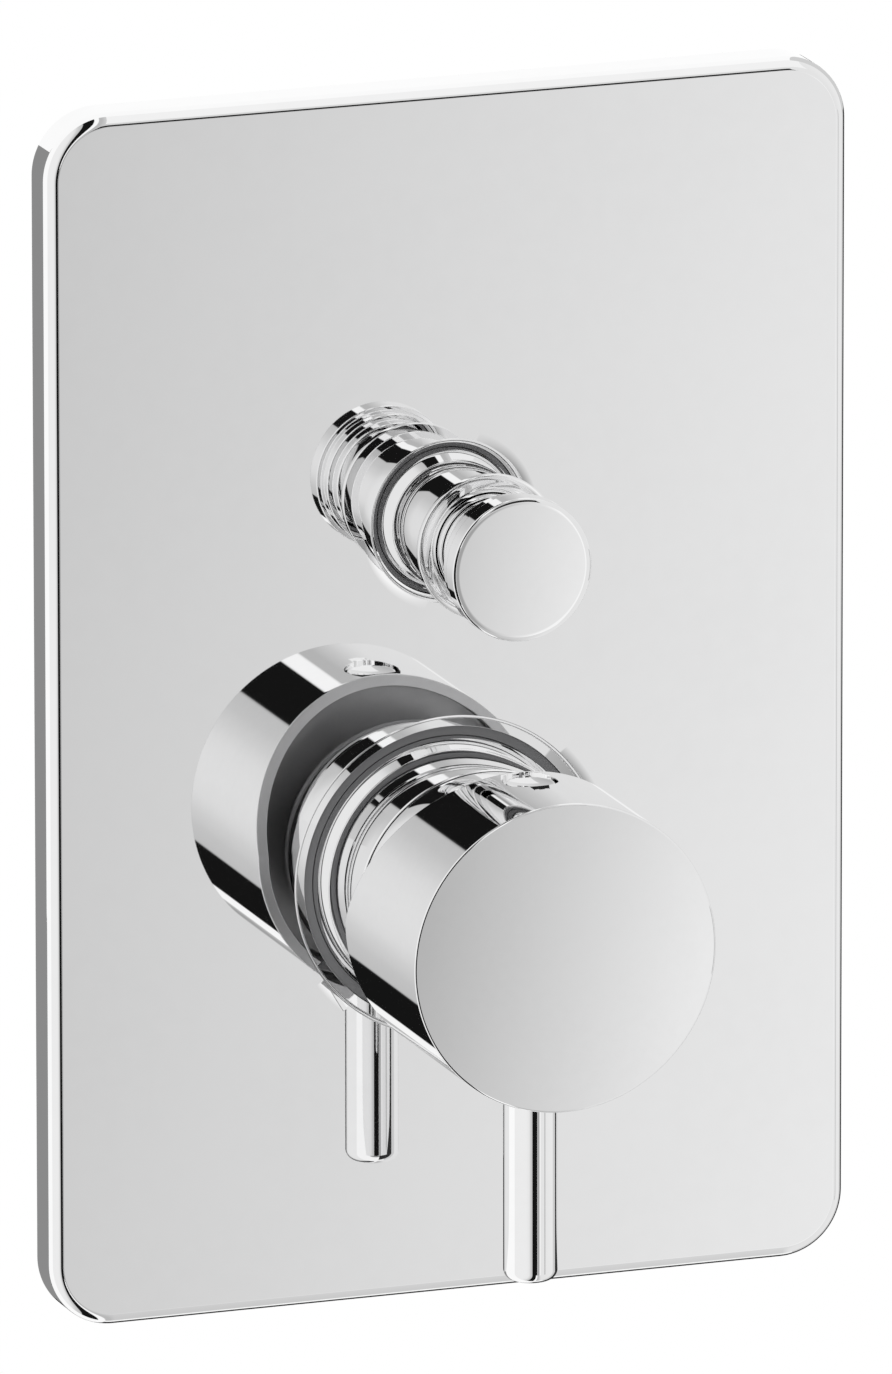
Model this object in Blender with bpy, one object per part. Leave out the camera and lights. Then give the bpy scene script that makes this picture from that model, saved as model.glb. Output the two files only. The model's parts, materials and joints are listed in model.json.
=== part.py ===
"""Concealed shower mixer: face plate, tilting lever, pull-out diverter knob, cartridge and valve body.

Metres, +Z up. The finished wall is the plane y = 0 and the plate faces -Y, so what stands in front of
the wall has a negative y and what is built in has a positive y. The origin is on the wall at the
plate's centre. Turned pieces are drawn as closed loops of (radius, y) pairs and spun round the Y axis.
"""

import math

import bmesh
import bpy
from mathutils import Matrix, Vector

# Clearances
SEAT = 0.0003
RUNNING = 0.00012
PIN_PLAY = 0.0001
SLEEVE_PLAY = 0.0004
RING_PROUD = 0.0001
SEAL_PLAY = 0.0001
MARGIN = 0.001
WELD = 1e-7
SMALLEST_CORNER = 0.0005

# Roundness
LARGE_SIDES = 36
TRIM_SIDES = 24
MEDIUM_SIDES = 20
PIN_SIDES = 20
RING_SIDES = 16
SMALL_SIDES = 12
RING_SECTION_SIDES = 6

# The two axes
MIXER_Z = -0.0298
AXIS_SPACING = 0.0580
DIVERTER_Z = MIXER_Z + AXIS_SPACING

# Face plate
PLATE_WIDTH = 0.1339
PLATE_HEIGHT = 0.1970
PLATE_DEPTH = 0.0075
PLATE_WALL = 0.0016
PLATE_CORNER = 0.0105
PLATE_EDGE = 0.0020
PLATE_INNER_EDGE = 0.0004
HOLE_EDGE = 0.0010
HOLE_LEAD = 0.00003
HOLE_STEP = 0.0012
MIXER_LIP = 0.0015
DIVERTER_LIP = 0.0004
MIXER_GAP = 0.0020
DIVERTER_GAP = 0.0009
FACE_Y = -PLATE_DEPTH
PLATE_INNER_Y = FACE_Y + PLATE_WALL

# Behind the plate: press pins, foam seal and bracket
PRESS_PIN_RADIUS = 0.0020
PRESS_PIN_SIDE_INSET = 0.0210
PRESS_PIN_END_INSET = 0.0225
PRESS_PIN_X = PLATE_WIDTH / 2 - PRESS_PIN_SIDE_INSET
PRESS_PIN_Z = PLATE_HEIGHT / 2 - PRESS_PIN_END_INSET
SEAL_WIDTH = 0.0050
SEAL_DEPTH = 0.0022
BRACKET_THICK = 0.0012
BRACKET_Y = -SEAT
BRACKET_FRONT_Y = BRACKET_Y - BRACKET_THICK
SCREW_X = 0.0290
SCREW_Z = 0.0
SCREW_RADIUS = 0.0020
SCREW_LENGTH = 0.0110
SCREW_HEAD_RADIUS = 0.0038
SCREW_HEAD_HEIGHT = 0.0022
SCREW_TOP_SHARE = 0.8
SCREW_SLOT_WIDTH = 0.0010
SCREW_SLOT_DEPTH = 0.0010

# Cartridge size, and what is stacked round it: its nut, the body's neck and the sleeve
CARTRIDGE_RADIUS = 0.0173
NUT_OVERHANG = 0.0004
NUT_RADIUS = CARTRIDGE_RADIUS + NUT_OVERHANG
BODY_NECK_WALL = 0.0014
MIXER_NECK_RADIUS = NUT_RADIUS + SEAT + BODY_NECK_WALL

# Mixer sleeve
SLEEVE_BORE = MIXER_NECK_RADIUS + SLEEVE_PLAY
SLEEVE_WALL = 0.0014
SLEEVE_RADIUS = SLEEVE_BORE + SLEEVE_WALL
COLLAR_STEP = 0.0009
COLLAR_CONE_STEP = 0.0002
COLLAR_RADIUS = SLEEVE_RADIUS + COLLAR_STEP
COLLAR_CONE_RADIUS = SLEEVE_RADIUS + COLLAR_CONE_STEP
COLLAR_FRONT_Y = -0.0061
COLLAR_CONE_Y = -0.0100
SLEEVE_FRONT_Y = -0.0235
SLEEVE_BACK_Y = 0.0040
SLEEVE_CHAMFER = 0.0003
RING_GROOVE_WIDTH = 0.0022
MIXER_RING_THICK = 0.00155
MIXER_RING_FRONT_Y = -0.0005

# Cartridge: heights along its axis, from the pivot of the lever backwards
PIVOT_Y = -0.0195
TILT_DEGREES = 25.0
ARM_LENGTH = 0.0135
BALL_RADIUS = 0.0024
ARM_SHARE = 0.8
PIVOT_TO_SHOULDER = 0.0075
HOUSING_NECK_SHARE = 0.78
HOUSING_NECK_RADIUS = CARTRIDGE_RADIUS * HOUSING_NECK_SHARE
HOUSING_WALL = 0.0017
HOUSING_BORE = CARTRIDGE_RADIUS - HOUSING_WALL
HOUSING_NECK_LENGTH = 0.0120
HOUSING_NECK_WALL = 0.0017
ROTOR_BORE = HOUSING_NECK_RADIUS - HOUSING_NECK_WALL
ROTOR_RADIUS = ROTOR_BORE - SEAT
ROTOR_FLANGE_THICK = 0.0023
DISC_SIDE_PLAY = 0.0009
CARRIER_RADIUS = HOUSING_BORE - ARM_LENGTH * math.sin(math.radians(TILT_DEGREES)) / 2 - DISC_SIDE_PLAY
CARRIER_THICK = 0.0047
CARRIER_FLOOR = 0.0007
MOVING_DISC_STEP = 0.0008
MOVING_DISC_RADIUS = CARRIER_RADIUS - MOVING_DISC_STEP
MOVING_DISC_THICK = 0.0030
MIXING_POCKET_SHARE = 0.65
FIXED_DISC_THICK = 0.0035
BASE_THICK = 0.0050
BASE_SPIGOT = 0.0005
PORT_SHARE = 0.19
PORT_CIRCLE_SHARE = 0.49
PORT_SEAL_SHARE = 0.30
PORT_RADIUS = CARTRIDGE_RADIUS * PORT_SHARE
PORT_CIRCLE = CARTRIDGE_RADIUS * PORT_CIRCLE_SHARE
PORT_ANGLES = {"hot": 210.0, "cold": 330.0, "mixed": 90.0}
PORT_SEAL_RADIUS = CARTRIDGE_RADIUS * PORT_SEAL_SHARE
PORT_SEAL_THICK = 0.0014
PIVOT_PIN_RADIUS = 0.0015
PIVOT_PIN_INSET = 0.0009
STEM_SHARE = 0.46
STEM_SIDE = CARTRIDGE_RADIUS * STEM_SHARE
STEM_LENGTH = 0.0362
STEM_SLOT_PLAY = 0.0004
STEM_SLOT_TRIM = 0.0012

# Cartridge nut and dome cap
NUT_LENGTH = 0.0097
NUT_NOTCH_WIDTH = 0.0040
NUT_NOTCH_DEPTH = 0.0020
DOME_STEP = 0.0003
DOME_WALL = 0.0013
DOME_SKIRT = 0.0063
DOME_RING = 0.0072

# Lever head and handle pin
HEAD_OVERHANG = 0.0038
HEAD_RADIUS = SLEEVE_RADIUS + HEAD_OVERHANG
HEAD_WALL = 0.0018
HEAD_FRONT_Y = -0.0610
HEAD_BACK_Y = -0.0280
HEAD_EDGE = 0.0002
HEAD_FRONT_WALL = 0.0030
HEAD_CUT_DEGREES = 25.0
HEAD_FLOOR_Y = -0.0398
POCKET_STEP = 0.0005
HUB_RADIUS = 0.0090
RIB_WIDTH = 0.0120
PIN_Y = -0.0446
PIN_RADIUS = 0.0043
PIN_BOTTOM_Z = -0.0862
PIN_END = 0.0017
PIN_SEAT_DEPTH = 0.0080
PIN_STUD_RADIUS = 0.0028
PIN_STUD_LENGTH = 0.0060
PLUG_DEPTH = 0.0040
PLUG_RECESS = 0.0004
PLUG_EDGE = 0.0004
GRUB_RADIUS = 0.0025
GRUB_LENGTH = 0.0080
GRUB_SOCKET_RADIUS = 0.0013
GRUB_SOCKET_DEPTH = 0.0030
GRUB_POINT_SHARE = 0.6

# Diverter sleeve, bush and knob
DIVERTER_SLEEVE_RADIUS = 0.0104
DIVERTER_COLLAR_RADIUS = 0.0115
DIVERTER_CONE_RADIUS = 0.0109
DIVERTER_SLEEVE_WALL = 0.0012
DIVERTER_SLEEVE_BACK_Y = 0.0010
DIVERTER_RING_FRONT_Y = -0.0036
DIVERTER_RING_THICK = 0.00125
FLANGE_OVERHANG = 0.00136
FLANGE_RADIUS = DIVERTER_SLEEVE_RADIUS + FLANGE_OVERHANG
FLANGE_THICK = 0.0012
FLANGE_FRONT_Y = -0.0258
FLANGE_RIM = 0.00096
FLANGE_LAND = 0.0003
FLANGE_GROOVE_WIDTH = 0.00096
FLANGE_STEP_RADIUS = FLANGE_RADIUS - FLANGE_RIM
FLANGE_STEP = 0.0002
FLANGE_GROOVE_OUTER = FLANGE_STEP_RADIUS - FLANGE_LAND
FLANGE_GROOVE_INNER = FLANGE_GROOVE_OUTER - FLANGE_GROOVE_WIDTH
FLANGE_GROOVE_DEPTH = 0.0004
FLANGE_WALL = 0.0019
BUSH_NOSE_RADIUS = 0.00874
BUSH_NOSE_Y = -0.0273
BUSH_BACK_Y = -0.0160
NECK_RADIUS = 0.0083
NECK_BACK_Y = -0.0172
NECK_WALL = 0.0018
NECK_FLOOR_Y = -0.0290
KNOB_BACK_Y = -0.0325
KNOB_STEPS = ((0.0100, 0.0022), (0.0109, 0.0031))
KNOB_RADIUS = 0.01157
KNOB_FRONT_Y = -0.0411
KNOB_EDGE = 0.0003
KNOB_STEP_EDGE = 0.0003
KNOB_HOLE_Y = -0.0378
PULL_TRAVEL = 0.0080

# Diverter valve
VALVE_STEM_RADIUS = 0.0025
PISTON_RADIUS = 0.0080
PISTON_THICK = 0.0024
PISTON_SEAL_THICK = 0.0010
VALVE_SEAT_RADIUS = 0.0060
VALVE_SEAT_THICK = 0.0020
REAR_SEAT_Y = 0.0325
BONNET_RADIUS = 0.0096
BONNET_CHAMBER_RADIUS = 0.0072
BONNET_CHAMBER_FRONT_Y = 0.0080
BONNET_FRONT_Y = -0.0157
BONNET_WINDOW_RADIUS = 0.0030
BONNET_RING_FRONT_Y = 0.0030
BONNET_RING_THICK = 0.0011
BONNET_GROOVE_DEPTH = 0.0014
STEM_RING_FRONT_Y = -0.0020
STEM_RING_THICK = 0.0013
STEM_RING_PLAY = 0.00025
STEM_GROOVE_DEPTH = 0.0018

# Valve body
MIXER_NECK_FRONT_Y = -0.0169
CHAMBER_WALL = 0.0039
CHAMBER_OUTER_RADIUS = CARTRIDGE_RADIUS + SEAT + CHAMBER_WALL
CHAMBER_BACK_Y = 0.0245
INLET_Y = 0.0172
INLET_BORE = 0.0050
INLET_BORE_END_X = 0.0045
INLET_RADIUS = 0.0090
INLET_REACH = 0.0480
SOCKET_RADIUS = 0.0093
SOCKET_OUTER_RADIUS = 0.0125
SOCKET_DEPTH = 0.0120
SOCKET_LENGTH = 0.0150
DUCT_RADIUS = 0.0078
DUCT_BORE = 0.0040
DUCT_START = 0.0060
DIVERTER_CHAMBER_RADIUS = 0.0140
REAR_CHAMBER_RADIUS = 0.0080
REAR_CHAMBER_DEPTH = 0.0095
BODY_BACK_WALL = 0.0030
UPPER_OUTLET_Y = 0.0132
UPPER_OUTLET_Z = 0.0720
LOWER_OUTLET_Z = -0.0800
OUTLET_BORE = 0.0060
OUTLET_RADIUS = 0.0088
LUG_RADIUS = 0.0050
LUG_DEPTH = 0.0140
WEB_HEIGHT = 0.0070

# Places worked out from the sizes above
HOUSING_SHOULDER_Y = PIVOT_Y + PIVOT_TO_SHOULDER
HOUSING_CEILING_Y = HOUSING_SHOULDER_Y + HOUSING_WALL
ROTOR_FLANGE_Y = HOUSING_CEILING_Y + SEAT
ROTOR_BACK_Y = ROTOR_FLANGE_Y + ROTOR_FLANGE_THICK
CARRIER_Y = ROTOR_BACK_Y + SEAT
CARRIER_BACK_Y = CARRIER_Y + CARRIER_THICK
MOVING_DISC_Y = CARRIER_BACK_Y + SEAT
FIXED_DISC_Y = MOVING_DISC_Y + MOVING_DISC_THICK + SEAT
BASE_Y = FIXED_DISC_Y + FIXED_DISC_THICK + SEAT
BASE_FLANGE_Y = BASE_Y + BASE_SPIGOT
BASE_BACK_Y = BASE_Y + BASE_THICK
HOUSING_BACK_Y = BASE_FLANGE_Y - SEAT
CHAMBER_FLOOR_Y = BASE_BACK_Y + SEAT
DISC_TRAVEL = ARM_LENGTH * math.sin(math.radians(TILT_DEGREES))
DISC_REST = DISC_TRAVEL / 2
NUT_BACK_Y = HOUSING_SHOULDER_Y - SEAT
NUT_FRONT_Y = NUT_BACK_Y - NUT_LENGTH
DOME_RADIUS = SLEEVE_RADIUS - DOME_STEP
DOME_OPENING = DOME_RADIUS - DOME_RING
DOME_CENTRE_Y = SLEEVE_FRONT_Y
DIVERTER_BORE = DIVERTER_SLEEVE_RADIUS - DIVERTER_SLEEVE_WALL
BONNET_NOSE_RADIUS = DIVERTER_BORE - SLEEVE_PLAY
PISTON_STACK = PISTON_THICK + 2 * (PISTON_SEAL_THICK + SEAT)
PISTON_BACK_Y = REAR_SEAT_Y - SEAT - PISTON_SEAL_THICK - SEAT
BONNET_BACK_Y = REAR_SEAT_Y - PULL_TRAVEL - PISTON_STACK - 2 * SEAT
DUCT_Y = (BONNET_BACK_Y + REAR_SEAT_Y) / 2
REAR_CHAMBER_Y = REAR_SEAT_Y + VALVE_SEAT_THICK
LOWER_OUTLET_Y = REAR_CHAMBER_Y + REAR_CHAMBER_DEPTH / 2
BODY_BACK_Y = REAR_CHAMBER_Y + REAR_CHAMBER_DEPTH + BODY_BACK_WALL

# Colours
CHROME = (0.82, 0.83, 0.84)
BRASS = (0.72, 0.55, 0.27)
STEEL = (0.60, 0.60, 0.61)
PLASTIC = (0.70, 0.71, 0.68)
CERAMIC = (0.90, 0.90, 0.88)
RUBBER = (0.03, 0.03, 0.03)
FOAM = (0.12, 0.12, 0.12)


def clear_scene():
    for obj in list(bpy.data.objects):
        bpy.data.objects.remove(obj, do_unlink=True)


def material(name, colour, metallic, roughness):
    made = bpy.data.materials.new(name)
    made.use_nodes = True
    shader = made.node_tree.nodes["Principled BSDF"]
    shader.inputs["Base Color"].default_value = (*colour, 1.0)
    shader.inputs["Metallic"].default_value = metallic
    shader.inputs["Roughness"].default_value = roughness
    return made


def chrome(name):
    return material(name, CHROME, 1.0, 0.05)


def brass(name):
    return material(name, BRASS, 1.0, 0.35)


def steel(name):
    return material(name, STEEL, 1.0, 0.3)


def plastic(name):
    return material(name, PLASTIC, 0.0, 0.45)


def rubber(name):
    return material(name, RUBBER, 0.0, 0.7)


def finish_mesh(name, shape):
    """A mesh from a bmesh, with its faces pointing out, smooth but for the edges over 35 degrees."""
    bmesh.ops.remove_doubles(shape, verts=shape.verts, dist=WELD)
    bmesh.ops.recalc_face_normals(shape, faces=shape.faces)
    mesh = bpy.data.meshes.new(name)
    shape.to_mesh(mesh)
    shape.free()
    mesh.shade_smooth()
    mesh.set_sharp_from_angle(angle=math.radians(35))
    return mesh


def stand(name, mesh, place, look=None, parent=None):
    """An object at a place in the world, under its parent if it has one."""
    obj = bpy.data.objects.new(name, mesh)
    bpy.context.scene.collection.objects.link(obj)
    obj.parent = parent
    obj.location = Vector(place) - (parent_place(parent) if parent else Vector())
    if look:
        obj.data.materials.append(look(name))
    return obj


def parent_place(parent):
    place = Vector()
    while parent:
        place += parent.location
        parent = parent.parent
    return place


def joint_empty(name, place, parent=None):
    return stand(name, None, place, parent=parent)


def turned_mesh(name, profile, sides, along="y"):
    """A solid of revolution: a closed loop of (radius, place along the axis) pairs, spun round."""
    shape = bmesh.new()
    points = [shape.verts.new((radius, place, 0.0)) for radius, place in profile]
    pairs = zip(points, points[1:] + points[:1])
    edges = [shape.edges.new(pair) for pair in pairs if max(pair[0].co.x, pair[1].co.x) > WELD]
    turn = {"cent": (0, 0, 0), "axis": (0, 1, 0), "angle": math.tau, "steps": sides, "use_merge": True}
    bmesh.ops.spin(shape, geom=points + edges, **turn)
    if along == "x":
        shape.transform(Matrix.Rotation(-math.pi / 2, 4, "Z"))
    if along == "z":
        shape.transform(Matrix.Rotation(math.pi / 2, 4, "X"))
    return finish_mesh(name, shape)


def arc(centre, radius, start, end, steps):
    """Points of a round stretch of a profile, its angles in degrees from the outward radius."""
    angles = [math.radians(start + (end - start) * i / steps) for i in range(steps + 1)]
    return [(centre[0] + radius * math.cos(a), centre[1] + radius * math.sin(a)) for a in angles]


def tube_profile(outer, inner, first, last):
    return [(outer, first), (outer, last), (inner, last), (inner, first)]


def rod_profile(radius, first, last):
    return [(0.0, first), (radius, first), (radius, last), (0.0, last)]


def ring_profile(inner, thick, front):
    """The round section of a rubber ring that lies over a radius and behind a place on the axis."""
    centre = (inner + thick / 2, front + thick / 2)
    return arc(centre, thick / 2, 0, 360, RING_SECTION_SIDES)[:-1]


def block_mesh(name, low, high):
    shape = bmesh.new()
    size = Vector(high) - Vector(low)
    middle = (Vector(high) + Vector(low)) / 2
    place = Matrix.Translation(middle) @ Matrix.Diagonal((*size, 1.0))
    bmesh.ops.create_cube(shape, size=1.0, matrix=place)
    return finish_mesh(name, shape)


def rounded_outline(width, height, corner, steps=5):
    """The points of a rectangle with round corners in the XZ plane."""
    points = []
    for quarter, (side_x, side_z) in enumerate(((1, 1), (-1, 1), (-1, -1), (1, -1))):
        middle = (side_x * (width / 2 - corner), side_z * (height / 2 - corner))
        points += arc(middle, corner, 90 * quarter, 90 * quarter + 90, steps)
    return points


def lofted_mesh(name, width, height, corner, levels, capped=True):
    """Rounded rectangles joined in a row. Each level is (inset from the outline, y).

    Capped ends close the first and last level. Otherwise the last level joins the first."""
    shape = bmesh.new()
    rows = []
    for inset, y in levels:
        inner_corner = max(corner - inset, SMALLEST_CORNER)
        outline = rounded_outline(width - 2 * inset, height - 2 * inset, inner_corner)
        rows.append([shape.verts.new((x, y, z)) for x, z in outline])
    following = rows[1:] if capped else rows[1:] + rows[:1]
    for row, other in zip(rows, following):
        for i, point in enumerate(row):
            shape.faces.new((point, row[i - 1], other[i - 1], other[i]))
    if capped:
        shape.faces.new(rows[0])
        shape.faces.new(reversed(rows[-1]))
    return finish_mesh(name, shape)


def helper(name, mesh, place=(0, 0, 0)):
    """A cutter or an added shape, which isn't part of the object by itself."""
    obj = stand(name, mesh, place)
    obj.hide_render = True
    obj.display_type = "WIRE"
    return obj


def combine(piece, other, operation):
    modifier = piece.modifiers.new(other.name, "BOOLEAN")
    modifier.operation = operation
    modifier.object = other
    modifier.solver = "EXACT"


def cut(piece, name, mesh, place=(0, 0, 0)):
    combine(piece, helper(name, mesh, place), "DIFFERENCE")


def add(piece, name, mesh, place=(0, 0, 0)):
    combine(piece, helper(name, mesh, place), "UNION")


def combine_all(piece, name, operation, shapes):
    """Joins to the piece, or cuts from it, several shapes at once. Each shape is (name, mesh, place)."""
    group = bpy.data.collections.new(name)
    bpy.context.scene.collection.children.link(group)
    for shape in shapes:
        made = helper(*shape)
        bpy.context.scene.collection.objects.unlink(made)
        group.objects.link(made)
    modifier = piece.modifiers.new(name, "BOOLEAN")
    modifier.operation = operation
    modifier.operand_type = "COLLECTION"
    modifier.collection = group
    modifier.solver = "EXACT"


def stepped_hole(name, radius, lip, middle_z, plate):
    """A pressed hole: the face rounds inwards to a flat lip, which is as thick as the plate's wall."""
    shoulder = radius + lip
    lip_y = FACE_Y + HOLE_STEP
    lip_back = lip_y + PLATE_WALL
    ring = tube_profile(shoulder + PLATE_WALL, radius - MARGIN, FACE_Y + PLATE_WALL / 2, lip_back)
    lip_mesh = turned_mesh(name + "_lip", ring, LARGE_SIDES)
    lip_mesh.transform(Matrix.Rotation(math.pi / LARGE_SIDES, 4, "Y"))
    add(plate, name + "_lip", lip_mesh, (0, 0, middle_z))
    edge = arc((shoulder + HOLE_EDGE, FACE_Y + HOLE_EDGE), HOLE_EDGE, 180, 255, 3)
    profile = [
        (0.0, lip_back + MARGIN),
        (radius, lip_back + MARGIN),
        (radius, lip_y),
        (shoulder, lip_y),
        *edge,
        (shoulder + HOLE_EDGE, FACE_Y - HOLE_LEAD),
        (shoulder + HOLE_EDGE, FACE_Y - MARGIN),
        (0.0, FACE_Y - MARGIN),
    ]
    cut(plate, name, turned_mesh(name, profile, LARGE_SIDES), (0, 0, middle_z))


def make_plate():
    """The shell: from the middle of its inner face out to the rim and back over the front."""
    round_edge = [
        (PLATE_EDGE * (1 - math.cos(a)), FACE_Y + PLATE_EDGE * (1 - math.sin(a)))
        for a in (math.radians(18 * i) for i in range(6))
    ]
    inner_edge = max(PLATE_EDGE - PLATE_WALL, PLATE_INNER_EDGE)
    levels = [
        (PLATE_WALL + inner_edge, PLATE_INNER_Y),
        (PLATE_WALL, PLATE_INNER_Y + inner_edge),
        (PLATE_WALL, 0.0),
        (0.0, 0.0),
        *round_edge,
    ]
    mesh = lofted_mesh("face_plate", PLATE_WIDTH, PLATE_HEIGHT, PLATE_CORNER, levels)
    plate = stand("face_plate", mesh, (0, 0, 0), chrome)
    stepped_hole("mixer_hole", COLLAR_RADIUS + MIXER_GAP, MIXER_LIP, MIXER_Z, plate)
    stepped_hole("diverter_hole", DIVERTER_COLLAR_RADIUS + DIVERTER_GAP, DIVERTER_LIP, DIVERTER_Z, plate)
    pin = rod_profile(PRESS_PIN_RADIUS, PLATE_INNER_Y - PLATE_WALL / 2, BRACKET_Y)
    for side_x in (-1, 1):
        for side_z in (-1, 1):
            name = f"press_pin_{side_x}_{side_z}"
            place = (side_x * PRESS_PIN_X, 0, side_z * PRESS_PIN_Z)
            add(plate, name, turned_mesh(name, pin, SMALL_SIDES), place)


def make_gasket():
    inset = PLATE_WALL + SEAT
    far = inset + SEAL_WIDTH
    levels = [(inset, 0.0), (inset, -SEAL_DEPTH), (far, -SEAL_DEPTH), (far, 0.0)]
    mesh = lofted_mesh("plate_gasket", PLATE_WIDTH, PLATE_HEIGHT, PLATE_CORNER, levels, capped=False)
    stand("plate_gasket", mesh, (0, 0, 0), lambda name: material(name, FOAM, 0.0, 0.9))


def make_bracket():
    """A sheet inside the foam seal, pierced for both sleeves, the plate's pins and its two screws."""
    inset = PLATE_WALL + SEAL_WIDTH + 2 * SEAT
    levels = [(inset, BRACKET_FRONT_Y), (inset, BRACKET_Y)]
    mesh = lofted_mesh("mounting_bracket", PLATE_WIDTH, PLATE_HEIGHT, PLATE_CORNER, levels)
    bracket = stand("mounting_bracket", mesh, (0, 0, 0), steel)
    holes = [
        ("bracket_mixer_hole", COLLAR_RADIUS + SEAT, (0, 0, MIXER_Z), LARGE_SIDES),
        ("bracket_diverter_hole", DIVERTER_COLLAR_RADIUS + SEAT, (0, 0, DIVERTER_Z), MEDIUM_SIDES),
    ]
    for side in (-1, 1):
        place = (side * SCREW_X, 0, SCREW_Z)
        holes.append((f"bracket_screw_hole_{side}", SCREW_RADIUS + SEAT, place, SMALL_SIDES))
        for side_z in (-1, 1):
            place = (side * PRESS_PIN_X, 0, side_z * PRESS_PIN_Z)
            holes.append((f"bracket_pin_hole_{side}_{side_z}", PRESS_PIN_RADIUS + SEAT, place, SMALL_SIDES))
    for name, radius, place, sides in holes:
        profile = rod_profile(radius, BRACKET_FRONT_Y - MARGIN, BRACKET_Y + MARGIN)
        cut(bracket, name, turned_mesh(name, profile, sides), place)


def make_bracket_screw(name, x):
    head_back = BRACKET_FRONT_Y - SEAT
    head_front = head_back - SCREW_HEAD_HEIGHT
    profile = [
        (0.0, head_front),
        (SCREW_HEAD_RADIUS * SCREW_TOP_SHARE, head_front),
        (SCREW_HEAD_RADIUS, head_front + SCREW_HEAD_HEIGHT / 2),
        (SCREW_HEAD_RADIUS, head_back),
        (SCREW_RADIUS, head_back),
        (SCREW_RADIUS, head_back + SCREW_LENGTH - SCREW_RADIUS),
        (SCREW_RADIUS / 2, head_back + SCREW_LENGTH),
        (0.0, head_back + SCREW_LENGTH),
    ]
    place = (x, 0, SCREW_Z)
    screw = stand(name, turned_mesh(name, profile, SMALL_SIDES), place, steel)
    low = (-SCREW_HEAD_RADIUS - MARGIN, head_front - MARGIN, -SCREW_SLOT_WIDTH / 2)
    high = (SCREW_HEAD_RADIUS + MARGIN, head_front + SCREW_SLOT_DEPTH, SCREW_SLOT_WIDTH / 2)
    cut(screw, name + "_slot", block_mesh(name + "_slot", low, high), place)


def groove_profile(bore, floor, front, width):
    """Four points that sink a ring groove into a bore, from its front to its back."""
    return [(bore, front), (floor, front), (floor, front + width), (bore, front + width)]


def make_mixer_sleeve():
    groove_floor = SLEEVE_BORE - RING_PROUD + MIXER_RING_THICK + SEAT
    profile = [
        (COLLAR_RADIUS, SLEEVE_BACK_Y),
        (COLLAR_RADIUS, COLLAR_FRONT_Y),
        (COLLAR_CONE_RADIUS, COLLAR_CONE_Y),
        (SLEEVE_RADIUS, COLLAR_CONE_Y),
        (SLEEVE_RADIUS, SLEEVE_FRONT_Y + SLEEVE_CHAMFER),
        (SLEEVE_RADIUS - SLEEVE_CHAMFER, SLEEVE_FRONT_Y),
        (SLEEVE_BORE, SLEEVE_FRONT_Y),
        *groove_profile(SLEEVE_BORE, groove_floor, MIXER_RING_FRONT_Y, RING_GROOVE_WIDTH),
        (SLEEVE_BORE, SLEEVE_BACK_Y),
    ]
    place = (0, 0, MIXER_Z)
    stand("mixer_sleeve", turned_mesh("mixer_sleeve", profile, LARGE_SIDES), place, chrome)
    front = MIXER_RING_FRONT_Y + (RING_GROOVE_WIDTH - MIXER_RING_THICK) / 2
    ring = ring_profile(SLEEVE_BORE - RING_PROUD, MIXER_RING_THICK, front)
    stand("mixer_sleeve_ring", turned_mesh("mixer_sleeve_ring", ring, TRIM_SIDES), place, rubber)


def dome_cone(radius, reach):
    """The place of the dome's shallow front cone at a radius. The reach is its distance from the pivot,
    square to the cone, so that the floor of the fully tilted head runs along it."""
    tilt = math.radians(TILT_DEGREES)
    return (radius, PIVOT_Y - (reach - radius * math.sin(tilt)) / math.cos(tilt))


def dome_flank(radius, reach, steps):
    """The dome's round flank, from its foot up to where the front cone meets it."""
    rise = reach - (PIVOT_Y - DOME_CENTRE_Y) * math.cos(math.radians(TILT_DEGREES))
    top = 90 - TILT_DEGREES - math.degrees(math.acos(rise / radius))
    return arc((0.0, DOME_CENTRE_Y), radius, 0, -top, steps)


def make_dome():
    """The cap: a skirt inside the sleeve, a round flank and a shallow cone up to the stem's opening."""
    reach = PIVOT_Y - HEAD_FLOOR_Y - SEAT
    skirt_radius = SLEEVE_BORE - SEAT
    skirt_bore = NUT_RADIUS + SEAT
    outer = dome_flank(DOME_RADIUS, reach, 4)
    inner = dome_flank(DOME_RADIUS - DOME_WALL, reach - DOME_WALL, 2)
    profile = [
        (skirt_bore, DOME_CENTRE_Y + DOME_SKIRT),
        (skirt_radius, DOME_CENTRE_Y + DOME_SKIRT),
        (skirt_radius, SLEEVE_FRONT_Y - SEAT),
        (DOME_RADIUS, SLEEVE_FRONT_Y - SEAT),
        *outer[1:],
        dome_cone(DOME_OPENING, reach),
        dome_cone(DOME_OPENING, reach - DOME_WALL),
        *reversed(inner[1:]),
        (skirt_bore, DOME_CENTRE_Y - 2 * SEAT),
    ]
    stand("dome_cap", turned_mesh("dome_cap", profile, LARGE_SIDES), (0, 0, MIXER_Z), chrome)


def make_cartridge_nut():
    place = (0, 0, MIXER_Z)
    profile = tube_profile(NUT_RADIUS, HOUSING_NECK_RADIUS + SEAT, NUT_BACK_Y, NUT_FRONT_Y)
    nut = stand("cartridge_nut", turned_mesh("cartridge_nut", profile, MEDIUM_SIDES), place, brass)
    for turn, (half_x, half_z) in enumerate(((1, 0), (0, 1))):
        name = f"nut_notch_{turn}"
        reach = NUT_RADIUS + MARGIN
        high_x = reach if half_x else NUT_NOTCH_WIDTH / 2
        high_z = reach if half_z else NUT_NOTCH_WIDTH / 2
        low = (-high_x, NUT_FRONT_Y - MARGIN, -high_z)
        high = (high_x, NUT_FRONT_Y + NUT_NOTCH_DEPTH, high_z)
        cut(nut, name, block_mesh(name, low, high), place)


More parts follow.
